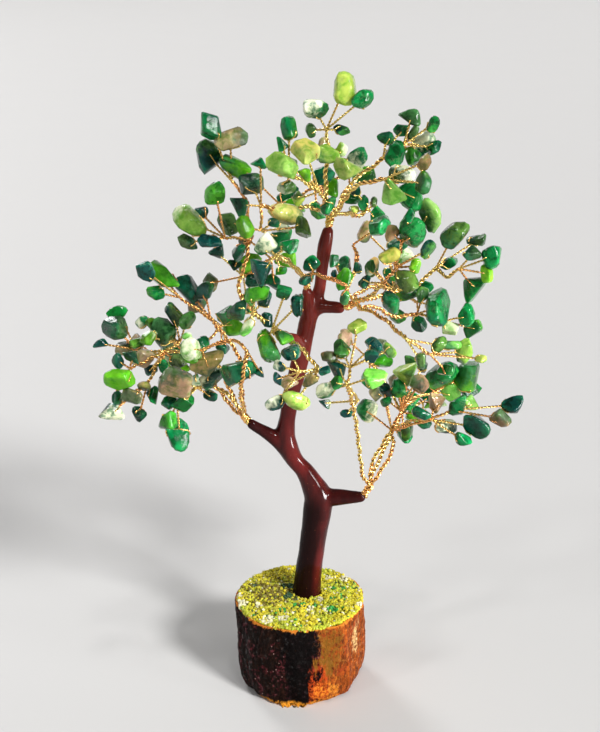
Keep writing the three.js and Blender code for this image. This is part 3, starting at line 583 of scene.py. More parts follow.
class Tree:
    """Every bend of wire and every chip as a point, and every straight stretch of wire as a link."""

    def __init__(self):
        self.places, self.freedom = [], []
        self.links, self.cords, self.chips = [], [], []
        self.lay_out()
        self.bend_clear()

    def add_place(self, place, free):
        self.places.append(np.array(place, float))
        self.freedom.append(free)
        return len(self.places) - 1

    def lay_out(self):
        draw = Draw(CHIP_SEED)
        slots = root_slots()
        for name, (stub, limbs) in BOUGHS.items():
            tip, out = stub_end(stub)
            foot = tip + slots[name]
            root = self.add_place(foot - out * ROOT_LENGTH, 0)
            leave = self.add_place(foot + out * EXIT, 0)
            ends = []
            for start, route, twigs in limbs:
                first = [leave] if ends else [root, leave]
                path = first if start < 0 else [ends[start]]
                path += [self.add_place(place, ROUTE_FREEDOM) for place in route]
                radii = [ROOT_RADIUS if p in (root, leave) else CORD_RADIUS for p in path]
                for k, (a, b) in enumerate(zip(path, path[1:])):
                    self.links.append((a, b, radii[k], radii[k + 1], name, a in (root, leave)))
                hub = path[-1]
                ends.append(hub)
                self.cords.append((name, path if twigs else path + ends[:1], start < 0))
                for bearing, reach, length, lie, shade in twigs:
                    angle = math.radians(bearing)
                    lean = reach * draw(-CHIP_LEAN, CHIP_LEAN) + draw(-CHIP_SHIFT, CHIP_SHIFT)
                    offset = (
                        reach * math.cos(angle),
                        lean * math.cos(DEPTH_FALL),
                        reach * math.sin(angle) - lean * math.sin(DEPTH_FALL),
                    )
                    place = self.add_place(self.places[hub] + offset, 1)
                    self.links.append((hub, place, TWIG_RADIUS, TWIG_RADIUS, name, False))
                    self.chips.append({"bough": name, "hub": hub, "place": place, "length": length,
                        "axes": chip_axes(lie, draw), "shade": shade})

    def balls(self):
        """Balls that stand for wire, chips and wood: (place, other place, share, radius, owner, kind)."""
        rows = []
        for a, b, radius_a, radius_b, name, held in self.links:
            count = max(1, math.ceil(np.linalg.norm(self.places[a] - self.places[b]) / BALL_STEP))
            for k in range(1, count + 1):
                t = k / count
                radius = radius_a + (radius_b - radius_a) * t
                rows.append((a, b, t, radius, name, "held" if held else "wire"))
        for chip in self.chips:
            place = chip["place"]
            rows.append((place, place, 0, CHIP_BALL * chip["length"], chip["bough"], "chip"))
        for line in (TRUNK, *(STUBS[stub] for stub in SIDE_STUBS)):
            for start, end in zip(line, line[1:]):
                a, b = np.array(start, float), np.array(end, float)
                count = math.ceil(np.linalg.norm(a[:3] - b[:3]) / BALL_STEP)
                for k in range(count):
                    at = a + (b - a) * k / count
                    place = self.add_place(at[:3], 0)
                    rows.append((place, place, 0, at[3], WOOD, WOOD))
        return rows

    def bend_clear(self):
        """Pushes what is too close apart, round after round, while everything is drawn to its home."""
        a, b, t, radius, owner, kind = (np.array(column) for column in zip(*self.balls()))
        t = t[:, None]
        at = np.array(self.places)
        home = at.copy()
        free = np.array(self.freedom)[:, None]
        moved_b = (a != b)[:, None] * t

        def centres(which):
            return at[a[which]] + (at[b[which]] - at[a[which]]) * t[which]

        for turn in range(ROUNDS):
            if turn % SEARCH_EVERY == 0:
                first, second, need = near_pairs(centres(slice(None)), radius, owner, kind)
            apart = centres(first) - centres(second)
            distance = np.linalg.norm(apart, axis=1)
            close = distance < need
            p, q, gap = first[close], second[close], distance[close]
            push = apart[close] * (PUSH_SHARE * (need[close] - gap) / np.maximum(gap, LEAST_GAP))[:, None]
            moves = np.zeros_like(at)
            np.add.at(moves, a[p], push * (1 - t[p]))
            np.add.at(moves, b[p], push * moved_b[p])
            np.add.at(moves, a[q], -push * (1 - t[q]))
            np.add.at(moves, b[q], -push * moved_b[q])
            size = np.linalg.norm(moves, axis=1)
            moves *= (np.minimum(size, LONGEST_PUSH) / np.maximum(size, 1e-12))[:, None]
            at += moves * free
            if turn < ROUNDS - SEARCH_EVERY:
                at += (home - at) * HOME_PULL * free
        self.places = [Vector(place) for place in at]


def near_pairs(centres, radius, owner, kind):
    """Pairs of balls that may meet: of different boughs, or chips of one bough, which may touch."""
    first, second, need = [], [], []
    for i in range(len(centres) - 1):
        rest = slice(i + 1, None)
        same = owner[rest] == owner[i]
        kept = np.where(same, (kind[i] == "chip") & (kind[rest] == "chip"),
            ~((kind[i] == "held") & (owner[rest] == WOOD)))
        gap = np.where(same, TOUCH * (radius[i] + radius[rest]), radius[i] + radius[rest] + CLEAR)
        near = np.linalg.norm(centres[rest] - centres[i], axis=1) < gap + SEARCH_REACH
        chosen = np.nonzero(kept & near)[0]
        first.append(np.full(len(chosen), i))
        second.append(chosen + i + 1)
        need.append(gap[chosen])
    return np.concatenate(first), np.concatenate(second), np.concatenate(need)


@cache
def grown_tree():
    return Tree()


# ---- finishes ------------------------------------------------------------------------------------


class Value:
    """What comes out of a material's node. Sums and products of values add Math nodes."""

    def __init__(self, finish, socket):
        self.finish = finish
        self.socket = socket

    def math(self, operation, *terms):
        return self.finish.node("ShaderNodeMath", {"operation": operation}, dict(enumerate(terms)))

    def __add__(self, other):
        return self.math("ADD", self, other)

    def __sub__(self, other):
        return self.math("SUBTRACT", self, other)

    def __rsub__(self, other):
        return self.math("SUBTRACT", other, self)

    def __mul__(self, other):
        return self.math("MULTIPLY", self, other)

    __radd__ = __add__
    __rmul__ = __mul__

    def size(self):
        return self.math("ABSOLUTE", self)

    def step(self, low, high):
        """Rises softly from 0 at low to 1 at high."""
        return self.finish.node("ShaderNodeMapRange", {"interpolation_type": "SMOOTHSTEP"},
            {"Value": self, "From Min": low, "From Max": high})

    def window(self, middle, half, soft):
        """1 within half of the middle, falling softly to 0 outside."""
        return 1 - (self - middle).size().step(half, half + soft)


class Finish:
    """A material under way: its surface shader, and the one method that adds any other node."""

    def __init__(self, name, constants):
        self.material = bpy.data.materials.new(name)
        self.material.use_nodes = True
        self.tree = self.material.node_tree
        self.surface = self.tree.nodes["Principled BSDF"]
        self.feed(self.surface, constants)

    def feed(self, node, sockets):
        for key, value in sockets.items():
            if isinstance(value, Value):
                self.tree.links.new(value.socket, node.inputs[key])
            else:
                node.inputs[key].default_value = value

    def node(self, kind, settings, sockets, output=0):
        made = self.tree.nodes.new(kind)
        for name, value in settings.items():
            setattr(made, name, value)
        self.feed(made, sockets)
        return Value(self, made.outputs[output])

    def millimetres(self):
        metres = self.node("ShaderNodeTexCoord", {}, {}, "Object")
        return self.node("ShaderNodeVectorMath", {"operation": "SCALE"}, {0: metres, "Scale": 1 / MM})

    def stretched(self, place, shares):
        return self.node("ShaderNodeVectorMath", {"operation": "MULTIPLY"}, {0: place, 1: shares})

    def along(self, place, axis):
        return self.node("ShaderNodeSeparateXYZ", {}, {"Vector": place}, axis)

    def off_axis(self, place):
        """How far a place is from the Z axis."""
        flat = self.stretched(place, (1, 1, 0))
        return self.node("ShaderNodeVectorMath", {"operation": "LENGTH"}, {0: flat}, "Value")

    def attribute(self, name, output="Color"):
        return self.node("ShaderNodeAttribute", {"attribute_name": name}, {}, output)

    def clouds(self, place, scale, detail=3, roughness=0.55, distortion=0):
        return self.node("ShaderNodeTexNoise", {}, {"Vector": place, "Scale": scale, "Detail": detail,
            "Roughness": roughness, "Distortion": distortion}, "Fac")

    def cells(self, place, scale):
        return self.node("ShaderNodeTexVoronoi", {}, {"Vector": place, "Scale": scale}, "Distance")

    def mix(self, share, start, end, blend="MIX"):
        start, end = (c if isinstance(c, Value) else (*c, 1) for c in (start, end))
        return self.node("ShaderNodeMix", {"data_type": "RGBA", "blend_type": blend},
            {0: share, 6: start, 7: end}, 2)

    def bump(self, height, strength, depth):
        return self.node("ShaderNodeBump", {}, {"Strength": strength, "Distance": depth * MM,
            "Height": height})

    def done(self, sockets):
        self.feed(self.surface, sockets)
        return self.material


def jade_finish():
    stone = Finish("polished_jade", {"Subsurface Weight": 0.18, "Subsurface Radius": (0.9, 1, 0.85),
        "Subsurface Scale": 1.2 * MM, "IOR": 1.5, "Specular IOR Level": 0.3})
    place = stone.millimetres()
    cloud = stone.clouds(place, 0.3, 4, 0.6, 0.6)
    share = (stone.attribute("share", "Fac") + (cloud - 0.5) * 1.3).step(0.3, 0.75)
    colour = stone.mix(share, stone.attribute("one_end"), stone.attribute("other_end"))
    # painted glow: paler towards the rim, as if light shone through the thin edges, and darker or greener
    # in the depths
    out = stone.off_axis(stone.attribute("own", "Vector"))
    rim = (out + (cloud - 0.5) * 0.9).step(0.55, 1.15)
    colour = stone.mix(rim, colour, colour, "SCREEN")
    colour = stone.mix(rim * 0.5, colour, (0.015, 0.13, 0.02), "SCREEN")
    depth = stone.clouds(place, 0.36, 4, 0.6, 0.4)
    cloudy = stone.attribute("one_end", "Alpha")
    dark = (depth - 0.5).step(-0.02, 0.14) * cloudy
    colour = stone.mix(dark, colour, (0.14, 0.3, 0.26), "MULTIPLY")
    green = (depth - 0.5).step(-0.1, 0.22) * (1 - cloudy)
    colour = stone.mix(green, colour, (0.38, 0.78, 0.22), "MULTIPLY")
    # faint veins and specks
    vein = 1 - (stone.clouds(place, 0.2, 5, 0.6, 1.4) - 0.5).size().step(0.003, 0.03)
    veined = stone.clouds(place, 0.1, 2).step(0.54, 0.62)
    colour = stone.mix(vein * veined * 0.14, colour, (0.35, 0.5, 0.25))
    speck = 1 - stone.cells(place, 1.5).step(0.08, 0.18)
    colour = stone.mix(speck * cloud.step(0.5, 0.6) * 0.12, colour, (0.02, 0.07, 0.04))
    return stone.done({
        "Base Color": colour,
        "Roughness": stone.clouds(place, 0.9, 2) * 0.1 + 0.02,
        "Normal": stone.bump(stone.clouds(place, 0.4, 4, 0.6), 0.6, 0.6),
    })


def wire_finish(gold, copper):
    wire = Finish("drawn_wire", {"Metallic": 1.0})
    place = wire.millimetres()
    drift = (wire.clouds(place, 0.07, 2) - 0.5) * 1.5
    tone = (wire.attribute("tone", "Fac") + drift).step(0.1, 0.9)
    colour = wire.mix(tone, gold, copper)
    tarnish = wire.clouds(place, 0.5, 4, 0.65).step(0.55, 0.75)
    colour = wire.mix(tarnish * 0.25, colour, (0.4, 0.14, 0.05))
    # painted shade, partly tarnish, darkens the grooves between the two strands
    painted_groove_shade = 1 - wire.attribute("crest", "Fac").step(0.42, 0.8)
    colour = wire.mix(painted_groove_shade * 0.8, colour, (0.09, 0.026, 0.008))
    return wire.done({
        "Base Color": colour,
        "Roughness": wire.clouds(place, 1.5, 3) * 0.2 + painted_groove_shade * 0.25 + 0.14,
        "Normal": wire.bump(wire.clouds(place, 3.0, 2), 0.15, 0.1),
    })


def lacquer_finish(dark, red):
    coat = Finish("glossy_lacquer", {"Coat Roughness": 0.03, "Specular IOR Level": 0.02})
    place = coat.millimetres()
    streaks = coat.clouds(coat.stretched(place, (1, 1, 0.3)), 0.16, 3, 0.5, 0.3)
    mottle = coat.clouds(place, 0.5, 4, 0.6)
    x, z = (coat.along(place, axis) for axis in "XZ")
    # painted shade: the lacquer is darker on the left below the elbow and on the stubs, where shade falls
    left = (1 - (x - z * 0.085 + (streaks - 0.5) * 5).step(0.5, 4.5)) * (1 - z.step(78, 92))
    share = (1 - left) * (1 - (x - 1).size().step(8, 13) * 0.7)
    colour = coat.mix((streaks.step(0.36, 0.66) * 0.6 + mottle * 0.2 + 0.2) * share, dark, red)
    # partly painted light: a lighter red higher up the trunk stands in for its lit, glossy upper part
    colour = coat.mix(z.step(118, 150) * (streaks * 0.5 + 0.2), colour, (0.26, 0.035, 0.025))
    pits = 1 - coat.cells(place, 0.7).step(0.04, 0.12)
    colour = coat.mix(pits * mottle.step(0.5, 0.6) * 0.7, colour, (0.4, 0.13, 0.06))
    return coat.done({
        "Base Color": colour,
        "Roughness": mottle * 0.2 + 0.12,
        "Coat Weight": share * 0.26 + 0.12,
        "Normal": coat.bump(coat.clouds(coat.stretched(place, (1, 1, 0.5)), 0.3, 3), 0.3, 0.5),
    })


def bark_finish(sizes):
    bark = Finish("varnished_bark", {"Coat Roughness": 0.05, "Specular IOR Level": 0.03})
    place = bark.millimetres()
    x, y, z = (bark.along(place, axis) for axis in "XYZ")
    ragged = bark.clouds(bark.stretched(place, (1, 1, 0.4)), 0.3, 6, 0.72, 0.6) - 0.5
    fine = bark.clouds(bark.stretched(place, (1, 1, 0.25)), 0.8, 5, 0.68, 0.8)
    patch = bark.clouds(place, 0.17, 5, 0.62, 0.7)
    crust = bark.clouds(place, 0.6, 5, 0.7, 0.5)
    angle = bark.node("ShaderNodeMath", {"operation": "ARCTAN2"}, {0: y, 1: x})
    around = angle * math.degrees(1) + ragged * 42
    height = z + ragged * 16
    # dark side, with plum patches, painted glints and a black band
    colour = bark.mix(fine.step(0.45, 0.72), sizes.dark_bark, (0.034, 0.013, 0.008))
    colour = bark.mix(patch.step(0.5, 0.6) * crust.step(0.45, 0.62) * 0.8, colour, sizes.plum_bark)
    colour = bark.mix(crust.step(0.63, 0.7) * 0.5, colour, (0.16, 0.075, 0.04))
    # painted glints: small pale pink dots on the dark side
    painted_glint = 1 - bark.cells(place, 0.42).step(0.06, 0.14)
    colour = bark.mix(painted_glint * patch.step(0.5, 0.56), colour, (0.75, 0.45, 0.4))
    colour = bark.mix(around.window(-91, 11, 5) * 0.92, colour, (0.004, 0.003, 0.003))
    # rusty side
    rust = bark.mix(fine.step(0.36, 0.66), (0.13, 0.03, 0.008), sizes.rust_bark)
    rust = bark.mix(crust.step(0.52, 0.68) * 0.75, rust, (0.85, 0.24, 0.035))
    rust = bark.mix(patch.step(0.52, 0.62) * fine.step(0.4, 0.6) * 0.7, rust, (0.3, 0.03, 0.012))
    rust = bark.mix(crust.step(0.42, 0.34) * 0.8, rust, (0.05, 0.014, 0.006))
    olive = around.window(-65, 3, 20) * height.window(26, 3, 16) + (ragged + crust - 0.5) * 3
    rust = bark.mix(olive.step(0.35, 1.0) * 0.75, rust, (0.23, 0.11, 0.013))
    rust = bark.mix(around.window(-30, 3, 5) * height.window(25, 4, 6) * crust.step(0.38, 0.6), rust,
        (0.9, 0.62, 0.26))
    colour = bark.mix(around.window(-16, 56, 5), colour, rust)
    # a knot, with its black eye
    knot = around.window(-73, 4.5, 6) * height.window(10, 5, 7)
    colour = bark.mix(knot * crust.step(0.34, 0.58), colour, (0.7, 0.075, 0.012))
    halo = around.window(-66, 8, 8) * height.window(5, 3, 6) * crust.step(0.45, 0.6)
    colour = bark.mix(halo * 0.8, colour, (0.95, 0.33, 0.03))
    eye = around.window(-74, 1.5, 3) * height.window(14, 2.5, 3)
    colour = bark.mix(eye, colour, (0.005, 0.003, 0.003))
    # inner bark along the top edge, and crumbs of it along the bottom
    lip = (z + ragged * 4 + (crust - 0.5) * 4).step(35.9, 36.5)
    colour = bark.mix(lip * 0.9, colour, (0.75, 0.24, 0.03))
    crumbs = (1 - (z + ragged * 4).step(1, 2.4)) * around.window(-94, 26, 12) * crust.step(0.38, 0.5)
    colour = bark.mix(crumbs, colour, (0.95, 0.36, 0.03))
    # end grain underneath
    ring = bark.off_axis(place) * 3.1 + ragged * 4.6
    grain = bark.mix(ring.math("SINE", ring) * 0.35 + 0.5, (0.5, 0.3, 0.14), (0.68, 0.47, 0.26))
    colour = bark.mix(1 - z.step(0.02, 0.3), colour, grain)
    return bark.done({
        "Base Color": colour,
        "Roughness": fine * 0.3 + 0.3,
        "Coat Weight": crust.step(0.54, 0.68) * 0.7,
        "Normal": bark.bump(fine + crust * 1.2, 1.0, 0.9),
    })


def bed_finish():
    bed = Finish("glued_bed", {"IOR": 1.45})
    place = bed.millimetres()
    crumbs = bed.cells(place, 0.9)
    colour = bed.mix(crumbs.step(0.1, 0.6), (0.5, 0.45, 0.03), (0.13, 0.12, 0.01))
    return bed.done({
        "Base Color": colour,
        "Roughness": crumbs * 0.2 + 0.7,
        "Normal": bed.bump(crumbs, 0.8, 0.5),
    })


def grit_finish():
    grit = Finish("crushed_grains", {"Specular IOR Level": 0.18, "Subsurface Weight": 0.1,
        "Subsurface Radius": (1, 0.9, 0.4), "Subsurface Scale": 0.4 * MM})
    place = grit.millimetres()
    spots = grit.clouds(place, 1.6, 4, 0.6)
    colour = grit.mix(spots.step(0.5, 0.72) * 0.4, grit.attribute("shade"), (0.85, 0.82, 0.4))
    return grit.done({
        "Base Color": colour,
        "Roughness": spots * 0.3 + 0.4,
        "Normal": grit.bump(spots, 0.4, 0.2),
    })


def floor_finish(tint):
    floor = Finish("pale_floor", {})
    place = floor.millimetres()
    mottle = floor.clouds(place, 0.01, 4)
    return floor.done({
        "Base Color": floor.mix(mottle * 0.12, tint, (0.6, 0.6, 0.6)),
        "Roughness": mottle * 0.1 + 0.6,
    })


# ---- shapes --------------------------------------------------------------------------------------


def bare_mesh(name, bm):
    """The mesh of a bmesh, smooth all over. The bmesh is freed."""
    for face in bm.faces:
        face.smooth = True
    mesh = bpy.data.meshes.new(name)
    bm.to_mesh(mesh)
    bm.free()
    return mesh


def opened(mesh):
    """A bmesh of a mesh, which is removed."""
    bm = bmesh.new()
    bm.from_mesh(mesh)
    bpy.data.meshes.remove(mesh)
    return bm


def pour(whole, bm):
    """Adds one bmesh to another and frees it."""
    mesh = bare_mesh("poured", bm)
    whole.from_mesh(mesh)
    bpy.data.meshes.remove(mesh)


def paint(mesh, name, kind, rows):
    """Gives every vertex its own value, such as a colour."""
    layer = mesh.attributes.new(name, kind, "POINT")
    key = {"FLOAT_COLOR": "color", "FLOAT_VECTOR": "vector", "FLOAT": "value"}[kind]
    layer.data.foreach_set(key, np.asarray(rows, np.float32).ravel())


def placed(name, data):
    """A new object in the scene."""
    made = bpy.data.objects.new(name, data)
    bpy.context.scene.collection.objects.link(made)
    return made


def add_piece(name, mesh, material, nodes):
    """Makes a mesh in millimetres a piece of the tree, which stands for some of the solids."""
    mesh.transform(Matrix.Scale(MM, 4))
    mesh.materials.append(material)
    piece = placed(name, mesh)
    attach(piece, "root")
    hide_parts(*nodes)


def modified(mesh, modifiers):
    """The mesh that a row of modifiers (kind, settings) leaves."""
    holder = placed("holder", mesh)
    for kind, settings in modifiers:
        modifier = holder.modifiers.new(kind, kind)
        for name, value in settings.items():
            setattr(modifier, name, value)
    result = mesh_of(holder)
    bpy.data.meshes.remove(mesh)
    return result


def mesh_of(holder):
    """The final mesh of an object, which is removed."""
    graph = bpy.context.evaluated_depsgraph_get()
    result = bpy.data.meshes.new_from_object(holder.evaluated_get(graph), depsgraph=graph)
    bpy.data.objects.remove(holder)
    return result


def tubes(lines, roundness=1):
    """One mesh of round, capped tubes along lines of (places, one radius or one for each place)."""
    curve = bpy.data.curves.new("tubes", "CURVE")
    curve.dimensions = "3D"
    curve.bevel_depth = 1
    curve.bevel_resolution = roundness
    for places, radii in lines:
        spline = curve.splines.new("POLY")
        spline.points.add(len(places) - 1)
        rows = np.hstack([np.asarray(places), np.ones((len(places), 1))])
        spline.points.foreach_set("co", rows.astype(np.float32).ravel())
        spline.points.foreach_set("radius", np.full(len(places), 1.0, np.float32) * radii)
    bm = opened(mesh_of(placed("tubes", curve)))
    bpy.data.curves.remove(curve)
    bmesh.ops.holes_fill(bm, edges=bm.edges[:])
    return bare_mesh("tubes", bm)


def travelled(line):
    """How far along a line each of its points lies."""
    return np.concatenate([[0], np.cumsum(np.linalg.norm(np.diff(line[:, :3], axis=0), axis=1))])


def flowing(points, spacing):
    """Evenly spaced points on a smooth line through all of these, whatever their number of columns."""
    points = np.asarray(points, float)
    if len(points) < 3:
        dense = points
    else:
        padded = np.vstack([2 * points[0] - points[1], points, 2 * points[-1] - points[-2]])
        t = np.linspace(0, 1, SPAN_STEPS, endpoint=False)[:, None]
        rows = []
        for k in range(len(points) - 1):
            p, a, b, q = padded[k:k + 4]
            bend = (2 * p - 5 * a + 4 * b - q) + t * (3 * (a - b) + q - p)
            rows.append(a + 0.5 * t * ((b - p) + t * bend))
        dense = np.vstack(rows + [points[-1:]])
    far = travelled(dense)
    steps = np.linspace(0, far[-1], max(2, round(far[-1] / spacing) + 1))
    return np.column_stack([np.interp(steps, far, column) for column in dense.T])


def frames(line):
    """Two directions across a line at each of its points, which never twist about it."""
    along = np.gradient(line, axis=0)
    along /= np.linalg.norm(along, axis=1)[:, None]
    first = np.cross(along[0], (0.31, 0.17, -0.94))
    across = [unit(first)]
    for direction in along[1:]:
        across.append(unit(across[-1] - direction * (across[-1] @ direction)))
    across = np.array(across)
    return across, np.cross(along, across)


def twisted(line, radius, pitch, phase):
    """Two strands wound round a line of evenly spaced points."""
    across, up = frames(line)
    wound = []
    for start in (0, 0.5):
        angle = (phase + 2 * math.pi * (travelled(line) / pitch + start))[:, None]
        wound.append(line + radius * (across * np.cos(angle) + up * np.sin(angle)))
    return wound


# ---- log, crushed stone and trunk ----------------------------------------------------------------


def fractal(x, y, z, octaves, lacunarity=2):
    return noise.fractal(Vector((x, y, z)), 0.8, lacunarity, octaves)


def bark_ridges(angle, z):
    return (math.sin(5 * angle + 0.7 * math.sin(z / 9)) + 0.7 * math.sin(9 * angle + 1.3 + z / 14)
        + 0.5 * math.sin(16 * angle + z / 8))


def spun(profile, steps, closed=True):
    """The surface turned from (radius, z) points, facing outwards if closed and upwards if not."""
    bm = bmesh.new()
    corners = [bm.verts.new((r, 0, z)) for r, z in profile]
    edges = [bm.edges.new(pair) for pair in zip(corners, corners[1:])]
    bmesh.ops.spin(bm, geom=corners + edges, axis=(0, 0, 1), cent=(0, 0, 0), angle=2 * math.pi,
        steps=steps, use_merge=True)
    bmesh.ops.remove_doubles(bm, verts=bm.verts[:], dist=1e-4)
    if closed:
        bmesh.ops.recalc_face_normals(bm, faces=bm.faces[:])
    return bm


def bark_relief(x, y, z, fissure_depth):
    """How far the bark stands out at a place, with its ridges, flakes, cracks, knot and lip."""
    angle = math.atan2(y, x)
    worn = WORN_SHARE if z < 0.3 else 1
    skin = RIDGE_HEIGHT * bark_ridges(angle, z)
    crack = abs(noise.noise(Vector((0.2 * x, 0.2 * y, 0.045 * z)))) / CRACK_WIDTH
    flake = fractal(0.5 * x, 0.5 * y, 0.22 * z, 4, 2.1)
    skin += FLAKE_HEIGHT * flake - fissure_depth * max(0, 1 - crack) * (0.6 + flake)
    turned = (math.degrees(angle) - KNOT_ANGLE) / KNOT_HALF_ANGLE
    far = math.hypot(turned, (z - KNOT_HEIGHT) / KNOT_HALF_HEIGHT)
    skin += KNOT_RIM * math.exp(-((far - 1) / 0.3) ** 2) - KNOT_HOLLOW * math.exp(-(far / 0.5) ** 2)
    front = (math.degrees(angle) - LIP_ANGLE) / LIP_HALF_ANGLE
    return skin * worn + LIP_DEPTH * math.exp(-front**2 - (z / LIP_HEIGHT) ** 2) * (1 + flake)


def make_log(sizes):
    """The slice of log: a turned body whose side gets its bark, with the rim of bark round its top."""
    heights = np.linspace(0, LOG_PROFILE[-1][0], round(LOG_PROFILE[-1][0] / LOG_ROW))
    shares = np.interp(heights, *zip(*LOG_PROFILE))
    side = [(sizes.radius * share, z) for share, z in zip(shares, heights)]
    underside = [(side[0][0] * share, 0) for share in LOG_UNDERSIDE]
    rim, edge = (sizes.radius * share for share in LOG_RIM)
    top = [(rim, side[-1][1] - LOG_RIM_DROP), (edge, LOG_TOP), (0, LOG_TOP)]
    bm = spun(underside + side + top, LOG_SIDES)
    for vert in bm.verts:
        x, y, z = vert.co
        if math.hypot(x, y) >= 0.9 * side[0][0]:
            angle = math.atan2(y, x)
            skin = bark_relief(x, y, z, sizes.fissure_depth)
            vert.co.x += math.cos(angle) * skin
            vert.co.y += math.sin(angle) * skin
    add_piece("log_slice", bare_mesh("log_slice", bm), bark_finish(sizes), ["log_base"])


def cover_height(x, y):
    """How high the crushed stone lies at a place."""
    return COVER_TOP + COVER_LUMPS * fractal(0.2 * x, 0.2 * y, 3.1, 4)


def make_bed(radius):
    """The bed of glued crumbs that the grains lie on."""
    profile = [(share * radius, COVER_BASE + height) for share, height in BED_RIM]
    profile += [(radius * share, COVER_TOP) for share in np.linspace(BED_FLAT, 0, BED_ROWS)]
    bm = spun(profile, BED_SIDES)
    for vert in bm.verts:
        x, y, z = vert.co
        if z > COVER_BASE + 1:
            vert.co.z = min(z, cover_height(x, y)) - BED_SINK
        if math.hypot(x, y) > BED_ROUGH_FROM * radius:
            rough = 1 + BED_ROUGHNESS * noise.noise(Vector((0.5 * x, 0.5 * y, z)))
            vert.co.x *= rough
            vert.co.y *= rough
    add_piece("stone_bed", bare_mesh("stone_bed", bm), bed_finish(), ["ground_cover"])


def grain_shade(x, y, draw, sizes):
    """The colour of a grain that lies at x, y: yellow-green in drifts, with clumps of other grains, and
    brown in a painted shadow left of the trunk.
    """
    drift = fractal(0.16 * x, 0.16 * y, 7.7, 3)
    # painted shadow: brown grains left of the trunk, where its shadow falls
    painted_shadow = math.exp(-((x - PAINTED_SHADOW_PLACE[0]) / PAINTED_SHADOW_REACH) ** 2 - ((y - PAINTED_SHADOW_PLACE[1]) / PAINTED_SHADOW_REACH) ** 2)
    pick = draw(0, 1)
    kind = next((stray for stray, share in STRAYS if pick < share), "")
    for clump_kind, clumps in CLUMPS.items():
        if pick < CLUMP_SHARE and any(math.hypot(x - a, y - b) < reach for a, b, reach in clumps):
            kind = clump_kind
    if kind:
        tint = getattr(sizes, f"{kind}_grain")
    elif pick > 1 - 0.8 * painted_shadow:
        tint = sizes.painted_shadow_grain
    else:
        share = min(1, max(0, 0.35 + 0.8 * drift + draw(-0.3, 0.3)))
        tint = [a + (b - a) * share for a, b in zip(sizes.yellow_grain, sizes.lime_grain)]
    light = draw(0.62, 1.1)
    return [min(1, c * light) for c in tint] + [1]


def make_grains(sizes):
    """Crushed stone strewn over the bed and round its rim, but not where the trunk stands."""
    draw = Draw(GRAIN_SEED)
    whole, heap = bmesh.new(), bmesh.new()
    shades = []
    while len(shades) < sizes.grains:
        far, angle = math.sqrt(draw(0, 1)), draw(0, 2 * math.pi)
        on_rim = draw(0, 1) < RIM_SHARE
        reach = sizes.radius * (draw(*RIM_REACH) if on_rim else far * TOP_REACH)
        x, y = reach * math.cos(angle), reach * math.sin(angle)
        size = draw(sizes.smallest, sizes.largest)
        z = COVER_BASE + draw(*RIM_HEIGHT) if on_rim else cover_height(x, y) + draw(*GRAIN_SINK)
        turn = Matrix.Rotation(draw(0, 6.3), 4, "Z") @ Matrix.Rotation(draw(0, 3.1), 4, "X")
        shape = Matrix.Diagonal((*(draw(*shares) for shares in GRAIN_STRETCH), 1))
        if math.hypot(x - TRUNK_FOOT[0], y - TRUNK_FOOT[1]) < FOOT_RADIUS + 0.5 * size:
            continue
        bmesh.ops.create_icosphere(heap, subdivisions=1, radius=0.5 * size,
            matrix=Matrix.Translation((x, y, z)) @ turn @ shape)
        shades.append(grain_shade(x, y, draw, sizes))
        if len(shades) % HEAP == 0 or len(shades) == sizes.grains:
            pour(whole, heap)
            heap = bmesh.new()
    mesh = bare_mesh("stone_grains", whole)
    paint(mesh, "shade", "FLOAT_COLOR", np.repeat(shades, ICOSPHERE_CORNERS, axis=0))
    add_piece("stone_grains", mesh, grit_finish(), ["ground_cover"])


def swelling(heights, size, middle, spread):
    return size * np.exp(-((heights - middle) / spread) ** 2)


def tapered_limbs():
    """Lines and radii of the trunk and of the stubs on its side, tapered towards their ends."""
    trunk = flowing(TRUNK, LIMB_STEP)
    trunk[:, 0] += swelling(trunk[:, 2], *ELBOW_PUSH)
    radius = trunk[:, 3] + (swelling(trunk[:, 2], *FOOT_FLARE) - swelling(trunk[:, 2], *ELBOW_SLIM))
    tip = np.clip(1 - (trunk[-1, 2] - trunk[:, 2]) / TIP_LENGTH, 0, 1)
    limbs = [(trunk[:, :3], radius * (1 - STUB_TAPER * tip**2))]
    for stub in SIDE_STUBS:
        line = flowing(STUBS[stub], LIMB_STEP)
        far = np.linspace(0, 1, len(line))
        limbs.append((line[:, :3], line[:, 3] * (1 - STUB_TAPER * far**3)))
    return limbs


def add_ball(bm, place, radius):
    bmesh.ops.create_icosphere(bm, subdivisions=3, radius=radius, matrix=Matrix.Translation(place))


def make_trunk(sizes):
    """Limbs with round ends, merged in one skin that flows round every fork."""
    bm = opened(tubes(tapered_limbs(), LIMB_ROUNDNESS))
    for stub, line in STUBS.items():
        tip, out = stub_end(stub)
        radius = line[-1][3] * (1 - STUB_TAPER)
        add_ball(bm, tip - out * TIP_SINK * radius, radius)
        if stub in SIDE_STUBS:
            place = Vector(line[1][:3]).lerp(Vector(line[0][:3]), FORK_SHIFT)
            add_ball(bm, place, line[1][3] * FORK_SWELL)
    bm = opened(modified(bare_mesh("trunk", bm), [
        ("REMESH", {"mode": "VOXEL", "voxel_size": sizes.voxel}),
        ("SMOOTH", {"factor": 0.5, "iterations": sizes.smoothing}),
    ]))
    bm.normal_update()
    for vert in bm.verts:
        lump = fractal(0.1 * vert.co.x, 0.1 * vert.co.y, 0.055 * vert.co.z, 3)
        vert.co += vert.normal * (sizes.lumps * lump + SMOOTHING_LOSS)
    add_piece("lacquered_trunk", bare_mesh("lacquered_trunk", bm), lacquer_finish(sizes.dark, sizes.red),
        ["trunk"])


# ---- chips and wire ------------------------------------------------------------------------------


